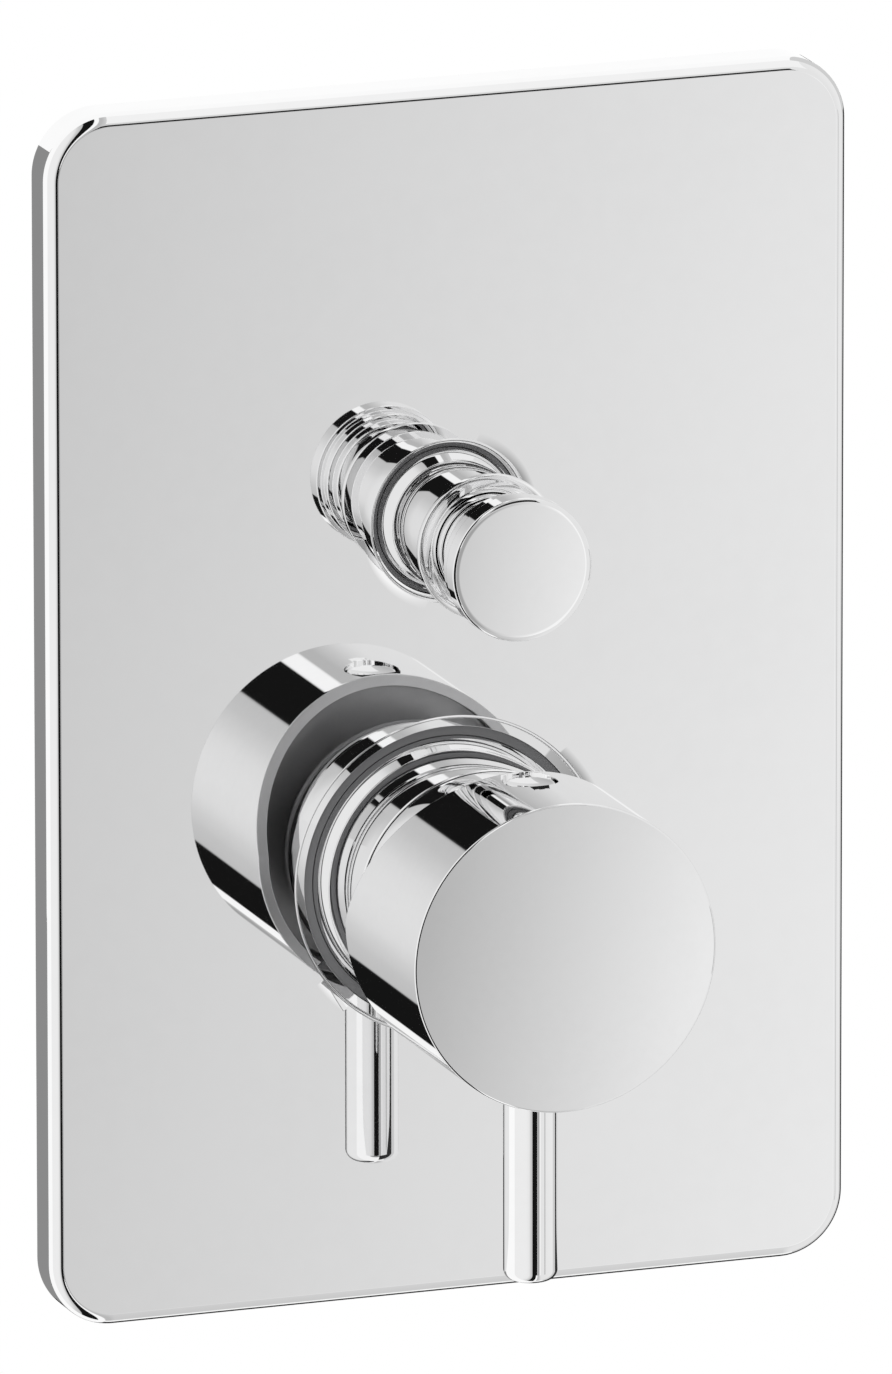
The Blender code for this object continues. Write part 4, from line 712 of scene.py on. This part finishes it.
def dome_profile(mixer):
    """The cap's section: a skirt inside the sleeve, a round flank and a shallow cone up to the opening."""
    radius, pivot, tilt = mixer.sleeve - SEAT, mixer.pivot, math.radians(mixer.tilt)
    reach = pivot - mixer.head_floor - SEAT
    skirt = mixer.sleeve - SLEEVE_WALL - SEAT
    end = mixer.sleeve_front
    lines = []
    for wall in (0.0, DOME_WALL):
        rise = (reach - wall) - (pivot - end) * math.cos(tilt)
        top = 90 - mixer.tilt - math.degrees(math.acos(rise / (radius - wall)))
        cone_y = pivot - (reach - wall - DOME_OPENING * math.sin(tilt)) / math.cos(tilt)
        lines.append([*arc(radius - wall, end, FLANK_START, -top, 24), (DOME_OPENING, cone_y, PLAIN)])
    outer, inner = lines
    profile = [
        (SKIRT_BORE, end + SKIRT_LENGTH, KEEN), (skirt, end + SKIRT_LENGTH, KEEN),
        (skirt, end - SEAT, 0.0), (radius, end - SEAT, KEEN),
        *outer, *reversed(inner), (SKIRT_BORE, end - SKIRT_ROOT, 0.0),
    ]
    return eased(profile, closed=True)


# Lever

# Heights from the mixer's axis: upper ends of the handle pin and of its hole
PIN_TOP, PIN_HOLE_TOP = -0.0172, -0.0170
# Below the head's top: lower ends of the plug and of its hole, the plug's border, and its hollow middle
PLUG_DEPTH, PLUG_HOLE_DEPTH, PLUG_SUNK, PLUG_DISH = 0.0044, 0.0047, 0.0006, 0.0004
# Rounding of the handle pin's end, and how far a cutter reaches past the head
PIN_END, CUT_REACH = 0.0017, 0.002
PIN_SIDES, PLUG_SIDES = 128, 96
# The head's face: depths of its border and its middle behind the front, and the share of x that turns it
FACE_CROWN, FACE_MIDDLE, FACE_TURN = 0.00022, 0.00005, 0.0080
# Distance from the rear edge at which the cut's slope is full, and slack of the floor's place. A face
# whose normal has a y above the last value looks back.
CUT_MARGIN, FLOOR_SLACK, LOOKS_BACK = 0.0004, 0.0004, 0.3
FLOOR_ROUND, ROW_SPACING = 0.0006, 0.0048
# The head's faces count alike over this many times SAME_AREA
HEAD_ALIKE = 20
# A disc's border: width of its chamfer in roundings, slope, and length of the first step
RIM_WIDTH, RIM_SLOPE, RIM_STEP = 1.6, 0.21, 0.00002


class MIXER_OT_lever(bpy.types.Operator):
    """Make the lever's hollow head, its handle pin and the plug on top"""

    bl_idname = "mixer.lever"
    bl_label = "Lever head and pin"

    def execute(self, context):
        mixer = context.scene.mixer_sizes
        head = self.head(mixer, context.scene.mixer_studio.sides)
        place = np.array([0.0, mixer.pin_y, MIXER_Z])
        hole, top = mixer.pin + RUNNING, mixer.head
        tools = []
        for low, high in ((-top - CUT_REACH, PIN_HOLE_TOP), (top - PLUG_HOLE_DEPTH, top + CUT_REACH)):
            verts, faces = turned([(0.0, low), (hole, low), (hole, high), (0.0, high)], PLUG_SIDES)
            tools.append((upright(verts) + place, faces))
        cut_out(head, tools)
        keep_faces_flat(head, SAME_AREA * HEAD_ALIKE)
        self.dull_and_shade_inside(head, mixer)
        bottom = mixer.pin_bottom - MIXER_Z
        profile = [(0.0, PIN_TOP), (mixer.pin, PIN_TOP, SOFT), (mixer.pin, bottom, PIN_END), (0.0, bottom)]
        self.standing("pin", eased(profile, 12), PIN_SIDES, place, "lever_pin")
        radius, foot, rim = mixer.pin - SEAT, top - PLUG_DEPTH, top - PLUG_SUNK
        profile = eased([(0.0, foot), (radius, foot, SOFT), (radius, rim, PLAIN), (0.0, rim)], 10)
        profile = np.vstack([profile[:-1], crown(profile[-2], rim - PLUG_DISH)[::-1]])
        self.standing("plug", profile, PLUG_SIDES, place, "head_plug")
        return {"FINISHED"}

    def standing(self, name, profile, sides, place, node):
        """A turned piece of polished trim that stands upright on the lever."""
        verts, faces = turned(profile, sides)
        piece(name, upright(verts) + place, faces, "lever", [node], look("polished_trim"))

    def head(self, mixer, sides):
        """The head: a turned shell whose rear edge is moved forwards by the cut's slope above the axis.

        Its face is turned a little about Z: each point of it moves forwards by a share of its x."""
        front, back, floor = mixer.head_front, mixer.head_back, mixer.head_floor
        bore = mixer.head - mixer.head_wall
        profile = [
            (0.0, front), *rim_line(mixer.head, front + FACE_CROWN, mixer.head_edge),
            (mixer.head, back, SOFT), (bore, back, SOFT), (bore, floor, FLOOR_ROUND), (0.0, floor),
        ]
        profile = eased(profile, 8)
        profile = np.vstack([crown(profile[1], front + FACE_MIDDLE), with_middle_rows(profile[1:], ROW_SPACING)])
        verts, faces = turned(profile, sides)
        face = verts[:, 1] < front + FACE_CROWN * 2
        verts[:, 1] -= face * verts[:, 0] * FACE_TURN
        share = np.clip((verts[:, 1] - floor) / (back - CUT_MARGIN - floor), 0, 1)
        verts[:, 1] -= share * np.maximum(verts[:, 2], 0.0) * math.tan(math.radians(mixer.tilt))
        verts = at_height(verts, MIXER_Z)
        return piece("head", verts, faces, "lever", ["lever_head"], look("polished_trim"))

    def dull_and_shade_inside(self, head, mixer):
        """Gives the faces in the head's bore the dull finish, whose darker colour is painted shade of the hollow,
        and its rear edge the satin one.
        """
        mesh = head.data
        mesh.materials.append(look("dull_plating"))
        mesh.materials.append(look("satin_rim"))
        centres, normals = face_values(mesh, "center"), face_values(mesh, "normal")
        away = np.hypot(centres[:, 0], centres[:, 2] - MIXER_Z)
        bore, floor = mixer.head - mixer.head_wall, mixer.head_floor
        inside = (away < bore + KEEN) & (centres[:, 1] > floor - FLOOR_SLACK)
        rim = ~inside & (normals[:, 1] > LOOKS_BACK) & (centres[:, 1] > floor)
        mesh.polygons.foreach_set("material_index", inside.astype(np.int32) + rim.astype(np.int32) * 2)


def face_values(mesh, key):
    """A vector of every face, such as its centre or its normal, as rows."""
    values = np.empty(len(mesh.polygons) * 3)
    mesh.polygons.foreach_get(key, values)
    return values.reshape(-1, 3)


def with_middle_rows(profile, spacing):
    """Adds points along the long straight stretches of a profile, at most the spacing apart."""
    out = [profile[0]]
    for first, last in zip(profile[:-1], profile[1:]):
        steps = int(np.linalg.norm(last - first) // spacing) + 1
        out.extend(first + (last - first) * step / steps for step in range(1, steps + 1))
    return np.array(out)


def rim_line(radius, place, rounding):
    """Corners of a disc's border, from the face outwards: a fine flat chamfer, and a rounding."""
    width = rounding * RIM_WIDTH
    inner = radius - width
    start = (inner + RIM_STEP, place + RIM_STEP * RIM_SLOPE)
    return [(inner, place), start, (radius, place + width * RIM_SLOPE, rounding)]


def crown(border, place, rings=14):
    """A very shallow dome from the axis out to a border point: its depth grows with the radius squared."""
    radii = np.linspace(0, 1, rings, endpoint=False) * border[0]
    return np.stack([radii, place + (border[1] - place) * (radii / border[0]) ** 2], 1)


# Diverter

DIVERTER_WALL = 0.0012
# Radii on the flange's face: inner edge of its rim, both sides of the groove, and the bush's seat
FLANGE_RIM, GROOVE_OUTER, GROOVE_INNER, BUSH_SEAT = 0.0108, 0.0105, 0.00954, 0.00889
# Depths behind the flange's face: its back, the step, the groove past the step, and both shoulders
FLANGE_DEPTH, FACE_STEP, FACE_GROOVE = 0.0012, 0.0002, 0.0004
SEAT_DEPTH, SHOULDER_DEPTH = 0.0019, 0.0022
FLANGE_ROUND = 0.00015
# The bush: radius of its nose, front and rear end
BUSH_NOSE, BUSH_FRONT, BUSH_BACK = 0.00874, -0.0273, -0.0160
# The knob: rear end of its neck, steps up to the cap as (radius, place where it begins), and the cap's back
NECK_BACK = -0.0172
KNOB_STEPS = ((0.0100, -0.0325), (0.0109, -0.0347))
CAP_BACK = -0.0378
# Its bore for the stem, the bore's floor, and the depth of the face's dome
KNOB_BORE, KNOB_FLOOR, KNOB_CROWN = 0.0065, -0.0290, 0.00005


class MIXER_OT_diverter(bpy.types.Operator):
    """Make the diverter's sleeve with its flange, the bush and the stepped knob"""

    bl_idname = "mixer.diverter"
    bl_label = "Diverter sleeve and knob"

    def execute(self, context):
        sizes = context.scene.mixer_diverter
        bore, front = sizes.sleeve - DIVERTER_WALL, sizes.flange_front
        back, step, seat = front + FLANGE_DEPTH, front + FACE_STEP, front + SEAT_DEPTH
        groove = step + FACE_GROOVE
        sleeve = [
            *collar(DIVERTER_COLLAR, sizes.sleeve, DIVERTER_BACK, SHARP),
            (sizes.sleeve, back, KEEN), (sizes.flange, back, FLANGE_ROUND),
            (sizes.flange, front, FLANGE_ROUND), (FLANGE_RIM, front, SHARP),
            (FLANGE_RIM, step, SHARP / 2), (GROOVE_OUTER, step, SHARP),
            (GROOVE_OUTER, groove, SHARP), (GROOVE_INNER, groove, SHARP),
            (GROOVE_INNER, step, SHARP), (BUSH_SEAT, step, SHARP),
            (BUSH_SEAT, seat, SHARP), (bore, seat, SHARP), (bore, DIVERTER_BACK, SHARP),
        ]
        turned_trim("diverter_tube", eased(sleeve, closed=True), DIVERTER_Z, "fixed", "diverter_sleeve")
        inner, outer, shoulder = sizes.neck + RUNNING, bore - SEAT, front + SHOULDER_DEPTH
        bush = [
            (outer, BUSH_BACK, SHARP), (outer, shoulder, SHARP),
            (BUSH_NOSE, shoulder, SHARP), (BUSH_NOSE, BUSH_FRONT, CRISP),
            (inner, BUSH_FRONT, SHARP), (inner, BUSH_BACK, SHARP),
        ]
        turned_trim("bush", eased(bush, closed=True), DIVERTER_Z, "fixed", "diverter_bush")
        turned_trim("knob", self.knob(sizes), DIVERTER_Z, "diverter", "diverter_knob", closed=False)
        return {"FINISHED"}

    def knob(self, sizes):
        """The knob's section: the bore, the neck, the steps and the cap with its slightly domed face."""
        steps = [(sizes.neck, NECK_BACK), *KNOB_STEPS, (sizes.knob, CAP_BACK)]
        stairs = []
        for (radius, start), (_, end) in zip(steps, steps[1:]):
            stairs += [(radius, start, SOFT), (radius, end, KEEN)]
        face = sizes.knob_front + KNOB_CROWN
        rim = reversed(rim_line(sizes.knob, face, SOFT))
        outside = eased([(KNOB_BORE, NECK_BACK, SHARP), *stairs, (*steps[-1], SOFT), *rim, (0.0, face)], 10)
        inside = [(0.0, KNOB_FLOOR), (KNOB_BORE, KNOB_FLOOR)]
        return np.vstack([inside, outside[:-1], crown(outside[-2], sizes.knob_front)[::-1]])


# Finishes

# Polished metals: material, colour, roughness, haze and the haze's scale
POLISHED = (
    ("polished_plate", "chrome", 0.012, 0.012, 30.0),
    ("polished_trim", "chrome", 0.012, 0.012, 70.0),
    # The bore's dull plating, with its colour darkened as painted shade of the hollow head
    ("dull_plating", "inside", 0.42, 0.10, 120.0),
    ("satin_rim", "rim", 0.36, 0.08, 120.0),
)
# Grained materials: name, colour, metallic, lowest and highest roughness, scale and depth of the grain,
# contrast of the colour, and the CAD nodes that have it
GRAINED = (
    ("gap_seal", "seal", 0.0, (0.35, 0.45), 2400.0, 0.00002, 0.95, ()),
    ("cast_brass", "brass", 1.0, (0.26, 0.42), 1400.0, 0.00010, 0.85, ("valve_body",)),
    ("machined_brass", "brass", 1.0, (0.16, 0.26), 3000.0, 0.00002, 0.94, (
        "cartridge_nut", "diverter_bonnet", "diverter_piston")),
    ("plain_steel", "steel", 1.0, (0.22, 0.34), 2600.0, 0.00002, 0.92, (
        "mounting_bracket", "bracket_screw_left", "bracket_screw_right", "pivot_pin", "lever_stem",
        "head_screw", "diverter_stem")),
    ("moulded_plastic", "plastic", 0.0, (0.40, 0.52), 2400.0, 0.00003, 0.94, (
        "cartridge_housing", "cartridge_rotor", "disc_carrier", "cartridge_base")),
    ("lapped_ceramic", "ceramic", 0.0, (0.14, 0.20), 3000.0, 0.00001, 0.97, ("moving_disc", "fixed_disc")),
    ("seal_rubber", "rubber", 0.0, (0.50, 0.66), 2800.0, 0.00003, 0.8, (
        "mixer_sleeve_ring", "port_seal_hot", "port_seal_cold", "port_seal_mixed", "bonnet_ring",
        "stem_ring", "diverter_sleeve_ring", "piston_front_seal", "piston_rear_seal")),
    ("seal_foam", "foam", 0.0, (0.80, 0.95), 1100.0, 0.00030, 0.7, ("plate_gasket",)),
)


class MIXER_OT_finishes(bpy.types.Operator):
    """Make the materials and dress the CAD nodes that stay"""

    bl_idname = "mixer.finishes"
    bl_label = "Finishes"

    def execute(self, context):
        tones = context.scene.mixer_finishes
        haze_group()
        grain_group()
        for name, tone, *values in POLISHED:
            polished(name, getattr(tones, tone), *values)
        for name, tone, *values, nodes in GRAINED:
            grained(name, getattr(tones, tone), *values)
            for node in nodes:
                dress(node, look(name))
        return {"FINISHED"}


# Studio

# The tent's brightness depends on the direction: X, Y and Z are the parts of the unit vector towards it, a
# window is ranges of them, and FAR, past any part, leaves a side of a window open.
FAR = 2.0
# Brightness in front of the plate, from left to right: (X, value). The bands lean by a share of Z.
FRONT_BANDS = (
    (-1.00, 0.90), (-0.60, 0.90), (-0.43, 0.86), (-0.38, 0.80), (-0.34, 0.71), (-0.28, 0.62), (-0.205, 0.58),
    (-0.195, 0.008), (0.056, 0.008), (0.064, 1.03), (0.153, 1.03), (0.163, 0.52), (0.22, 0.52), (0.25, 0.58),
    (0.29, 0.65), (0.33, 0.74), (0.37, 0.82), (0.45, 0.83), (0.60, 0.83), (1.00, 0.88),
)
BAND_LEAN = 0.04
# Patches in front that the turned walls don't mirror: they draw the lines along the plate's edges.
FRONT_PATCHES = (
    ({"X": (0.05, 0.16), "Z": (-0.33, -0.17)}, 0.01),
    ({"X": (0.25, 0.37), "Z": (-0.11, 0.13)}, 0.02),
    ({"X": (0.27, 0.60), "Z": (0.36, 1.00)}, 0.95),
    ({"X": (0.64, 0.70), "Z": (-0.33, -0.17)}, 0.50),
)
# In this window, which the flat faces mirror, the value rises with X from the first (X, value) to the
# second, and X moves by the lean times the height over the level.
FACE_WINDOW = {"X": (0.18, 0.40), "Z": (-0.36, -0.15)}
FACE_RISE = ((0.270, 0.381), (0.365, 0.985))
FACE_LEAN, FACE_LEVEL = -0.21, -0.25
# Behind the plate: white, and grey on the lower left, past a plane (normal, distance) and below a height
BACK_WHITE, BACK_GREY = 1.03, 0.27
BACK_PLANE, BACK_REACH = (-0.875, 0.0, -0.485), 0.264
BACK_DEEP = {"Y": (0.87, FAR)}
BACK_LOW = {"Z": (-FAR, -0.262), "Y": (0.80, FAR)}
# Behind on the right: a light grey side, and a dark panel below
BACK_SIDE, SIDE_GREY = {"X": (0.45, FAR)}, 0.66
BACK_PANEL, PANEL_DARK = {"X": (0.20, FAR), "Z": (-FAR, -0.15), "Y": (0.30, FAR)}, 0.03


def window_mask(tree, parts, window):
    """One for directions within a window, and nought elsewhere."""
    mask = 1.0
    for axis, (low, high) in window.items():
        for test, limit in (("GREATER_THAN", low), ("LESS_THAN", high)):
            mask = math_node(tree, "MULTIPLY", mask, math_node(tree, test, parts[axis], limit))
    return mask


def front_cloth(tree, parts):
    """The colour in front of the plate: upright bands, patches, and the rise that flat faces mirror."""
    leaning = math_node(tree, "ADD", parts["X"], math_node(tree, "MULTIPLY", parts["Z"], BAND_LEAN))
    ramp = add_node(tree, "ShaderNodeValToRGB", {"Fac": mapped(tree, leaning, (-1.0, 1.0))})
    elements = ramp.color_ramp.elements
    while len(elements) > 1:
        elements.remove(elements[-1])
    first, *others = [((x + 1) / 2, (value, value, value, 1.0)) for x, value in FRONT_BANDS]
    elements[0].position, elements[0].color = first
    for position, value in others:
        elements.new(position).color = value
    front = ramp.outputs["Color"]
    for window, value in FRONT_PATCHES:
        front = mixed_colour(tree, window_mask(tree, parts, window), front, value)
    level = math_node(tree, "SUBTRACT", parts["Z"], FACE_LEVEL)
    place = math_node(tree, "ADD", parts["X"], math_node(tree, "MULTIPLY", level, FACE_LEAN))
    (first_x, first), (last_x, last) = FACE_RISE
    rise = mapped(tree, place, (first_x, last_x), (first, last))
    return mixed_colour(tree, window_mask(tree, parts, FACE_WINDOW), front, rise)


def back_cloth(tree, unit, parts):
    """The colour behind the plate: white, with its grey side, grey lower left and dark panel."""
    beyond = add_node(tree, "ShaderNodeVectorMath", {0: unit, 1: BACK_PLANE}, operation="DOT_PRODUCT")
    grey = math_node(tree, "GREATER_THAN", beyond.outputs["Value"], BACK_REACH)
    grey = math_node(tree, "MULTIPLY", grey, window_mask(tree, parts, BACK_DEEP))
    grey = math_node(tree, "MAXIMUM", grey, window_mask(tree, parts, BACK_LOW))
    back = mixed_colour(tree, window_mask(tree, parts, BACK_SIDE), BACK_WHITE, SIDE_GREY)
    back = mixed_colour(tree, grey, back, BACK_GREY)
    return mixed_colour(tree, window_mask(tree, parts, BACK_PANEL), back, PANEL_DARK)


def tent_material():
    """The tent's glowing cloth, whose brightness depends on the direction. It isn't sampled as a lamp."""
    made = bpy.data.materials.new("tent_cloth")
    made.use_nodes = True
    made.cycles.emission_sampling = "NONE"
    tree = made.node_tree
    tree.nodes.clear()
    place = add_node(tree, "ShaderNodeTexCoord").outputs["Object"]
    unit = add_node(tree, "ShaderNodeVectorMath", {0: place}, operation="NORMALIZE").outputs["Vector"]
    parts = add_node(tree, "ShaderNodeSeparateXYZ", {0: unit}).outputs
    behind = math_node(tree, "GREATER_THAN", parts["Y"], 0.0)
    cloth = mixed_colour(tree, behind, front_cloth(tree, parts), back_cloth(tree, unit, parts))
    emission = add_node(tree, "ShaderNodeEmission", {"Color": cloth, "Strength": 1.0})
    add_node(tree, "ShaderNodeOutputMaterial", {"Surface": emission.outputs[0]})
    return made


def stage_object(name, verts, faces, material, hidden_from):
    """An object of the stage that the named kinds of rays don't see."""
    obj = bpy.data.objects.new(name, new_mesh(name, verts, faces))
    bpy.context.scene.collection.objects.link(obj)
    obj.data.materials.append(material)
    for kind in hidden_from:
        setattr(obj, "visible_" + kind, False)


# The floor: colour, roughness, and the distances between which it fades into the background
FLOOR_GREY, FLOOR_ROUGHNESS, FLOOR_FADE = (0.86, 0.86, 0.86, 1.0), 0.9, (0.30, 0.70)
# Nearest and farthest distance that the camera sees
CAMERA_RANGE = (0.5, 20.0)


def floor_material():
    """Pale floor that fades into the white background towards its border."""
    tree, shader = shader_of("studio_floor")
    shader["Base Color"].default_value = FLOOR_GREY
    shader["Roughness"].default_value = FLOOR_ROUGHNESS
    place = add_node(tree, "ShaderNodeTexCoord").outputs["Object"]
    distance = add_node(tree, "ShaderNodeVectorMath", {0: place}, operation="LENGTH").outputs["Value"]
    white = add_node(tree, "ShaderNodeEmission", {"Strength": 1.0}).outputs[0]
    floor = tree.nodes["Principled BSDF"].outputs[0]
    mix = add_node(tree, "ShaderNodeMixShader", {0: mapped(tree, distance, FLOOR_FADE), 1: floor, 2: white})
    tree.links.new(mix.outputs[0], tree.nodes["Material Output"].inputs["Surface"])
    look("studio_floor").cycles.emission_sampling = "NONE"
    return look("studio_floor")


class MIXER_OT_studio(bpy.types.Operator):
    """Make the floor, the light tent, the lamp and the camera"""

    bl_idname = "mixer.studio"
    bl_label = "Studio"

    def execute(self, context):
        studio = context.scene.mixer_studio
        self.floor(studio)
        self.tent(studio)
        self.light(context, studio)
        self.camera(context, studio)
        return {"FINISHED"}

    def floor(self, studio):
        """A flat disc below the part, which mirrors don't see."""
        verts, faces = turned([(0.0, 0.0), (studio.floor_radius / 2, 0.0), (studio.floor_radius, 0.0)], 96)
        stage_object("studio_floor", at_height(upright(verts), studio.floor_z), faces, floor_material(), ["glossy"])

    def tent(self, studio):
        """A sphere round everything, which only mirrors see."""
        profile = [point[:2] for point in arc(studio.tent_radius, 0.0, -90, 90, 48)]
        verts, faces = turned(profile, 96)
        kinds = ["camera", "diffuse", "shadow", "transmission", "volume_scatter"]
        stage_object("light_tent", verts, faces, tent_material(), kinds)

    def light(self, context, studio):
        """White background for camera, mirrors and clear pieces, softer light elsewhere, and a large lamp."""
        world = bpy.data.worlds.new("studio_world")
        context.scene.world = world
        world.use_nodes = True
        tree = world.node_tree
        tree.nodes.clear()
        path = add_node(tree, "ShaderNodeLightPath").outputs
        soft, white = (
            add_node(tree, "ShaderNodeBackground", {"Color": (1, 1, 1, 1), "Strength": strength}).outputs[0]
            for strength in (studio.soft, 1.0)
        )
        seen = math_node(tree, "MAXIMUM", path["Is Camera Ray"], path["Is Glossy Ray"])
        seen = math_node(tree, "MAXIMUM", seen, path["Is Transmission Ray"])
        mix = add_node(tree, "ShaderNodeMixShader", {0: seen, 1: soft, 2: white})
        add_node(tree, "ShaderNodeOutputWorld", {"Surface": mix.outputs[0]})
        lamp = bpy.data.lights.new("key_lamp", "AREA")
        lamp.energy, lamp.shape, lamp.size = studio.lamp_power, "DISK", studio.lamp_size
        key = bpy.data.objects.new("key_lamp", lamp)
        context.scene.collection.objects.link(key)
        key.location = studio.lamp_place
        key.rotation_euler = (-Vector(key.location)).to_track_quat("-Z", "Y").to_euler()
        key.visible_glossy = False

    def camera(self, context, studio):
        """The camera at its place, turned by azimuth and elevation and rolled about its line of sight."""
        azimuth, elevation, roll = (math.radians(a) for a in (studio.azimuth, studio.elevation, studio.roll))
        level = math.cos(elevation)
        forward = Vector((math.sin(azimuth) * level, math.cos(azimuth) * level, math.sin(elevation)))
        right = Vector((math.cos(azimuth), -math.sin(azimuth), 0.0))
        up = right.cross(forward)
        right, up = right * math.cos(roll) + up * math.sin(roll), up * math.cos(roll) - right * math.sin(roll)
        data = bpy.data.cameras.new("studio_camera")
        data.sensor_fit, data.sensor_width, data.lens = "HORIZONTAL", studio.sensor, studio.lens
        data.clip_start, data.clip_end = CAMERA_RANGE
        made = bpy.data.objects.new("studio_camera", data)
        context.scene.collection.objects.link(made)
        turn = Matrix((right, up, -forward)).transposed()
        made.matrix_world = Matrix.Translation(Vector(studio.camera)) @ turn.to_4x4()
        context.scene.camera = made
        context.scene.view_settings.view_transform = "Standard"


class MIXER_PT_panel(bpy.types.Panel):
    """Lists the operators that make the mixer"""

    bl_label = "Shower mixer"
    bl_idname = "MIXER_PT_panel"
    bl_space_type = "VIEW_3D"
    bl_region_type = "UI"
    bl_category = "Mixer"

    def draw(self, context):
        for operator in OPERATORS:
            self.layout.operator(operator.bl_idname)


GROUPS = {
    "mixer_plate": PlateSizes,
    "mixer_sizes": MixerSizes,
    "mixer_diverter": DiverterSizes,
    "mixer_finishes": Finishes,
    "mixer_studio": Studio,
}
OPERATORS = (
    MIXER_OT_finishes,
    MIXER_OT_plate,
    MIXER_OT_sleeve,
    MIXER_OT_lever,
    MIXER_OT_diverter,
    MIXER_OT_studio,
)


CLASSES = (*GROUPS.values(), *OPERATORS, MIXER_PT_panel)


def register():
    for cls in CLASSES:
        bpy.utils.register_class(cls)
    for name, cls in GROUPS.items():
        setattr(bpy.types.Scene, name, PointerProperty(type=cls))


def unregister():
    for name in GROUPS:
        delattr(bpy.types.Scene, name)
    for cls in reversed(CLASSES):
        bpy.utils.unregister_class(cls)


def main():
    register()
    bpy.ops.mixer.finishes()
    bpy.ops.mixer.plate()
    bpy.ops.mixer.sleeve()
    bpy.ops.mixer.lever()
    bpy.ops.mixer.diverter()
    bpy.ops.mixer.studio()


if __name__ == "__main__":
    main()
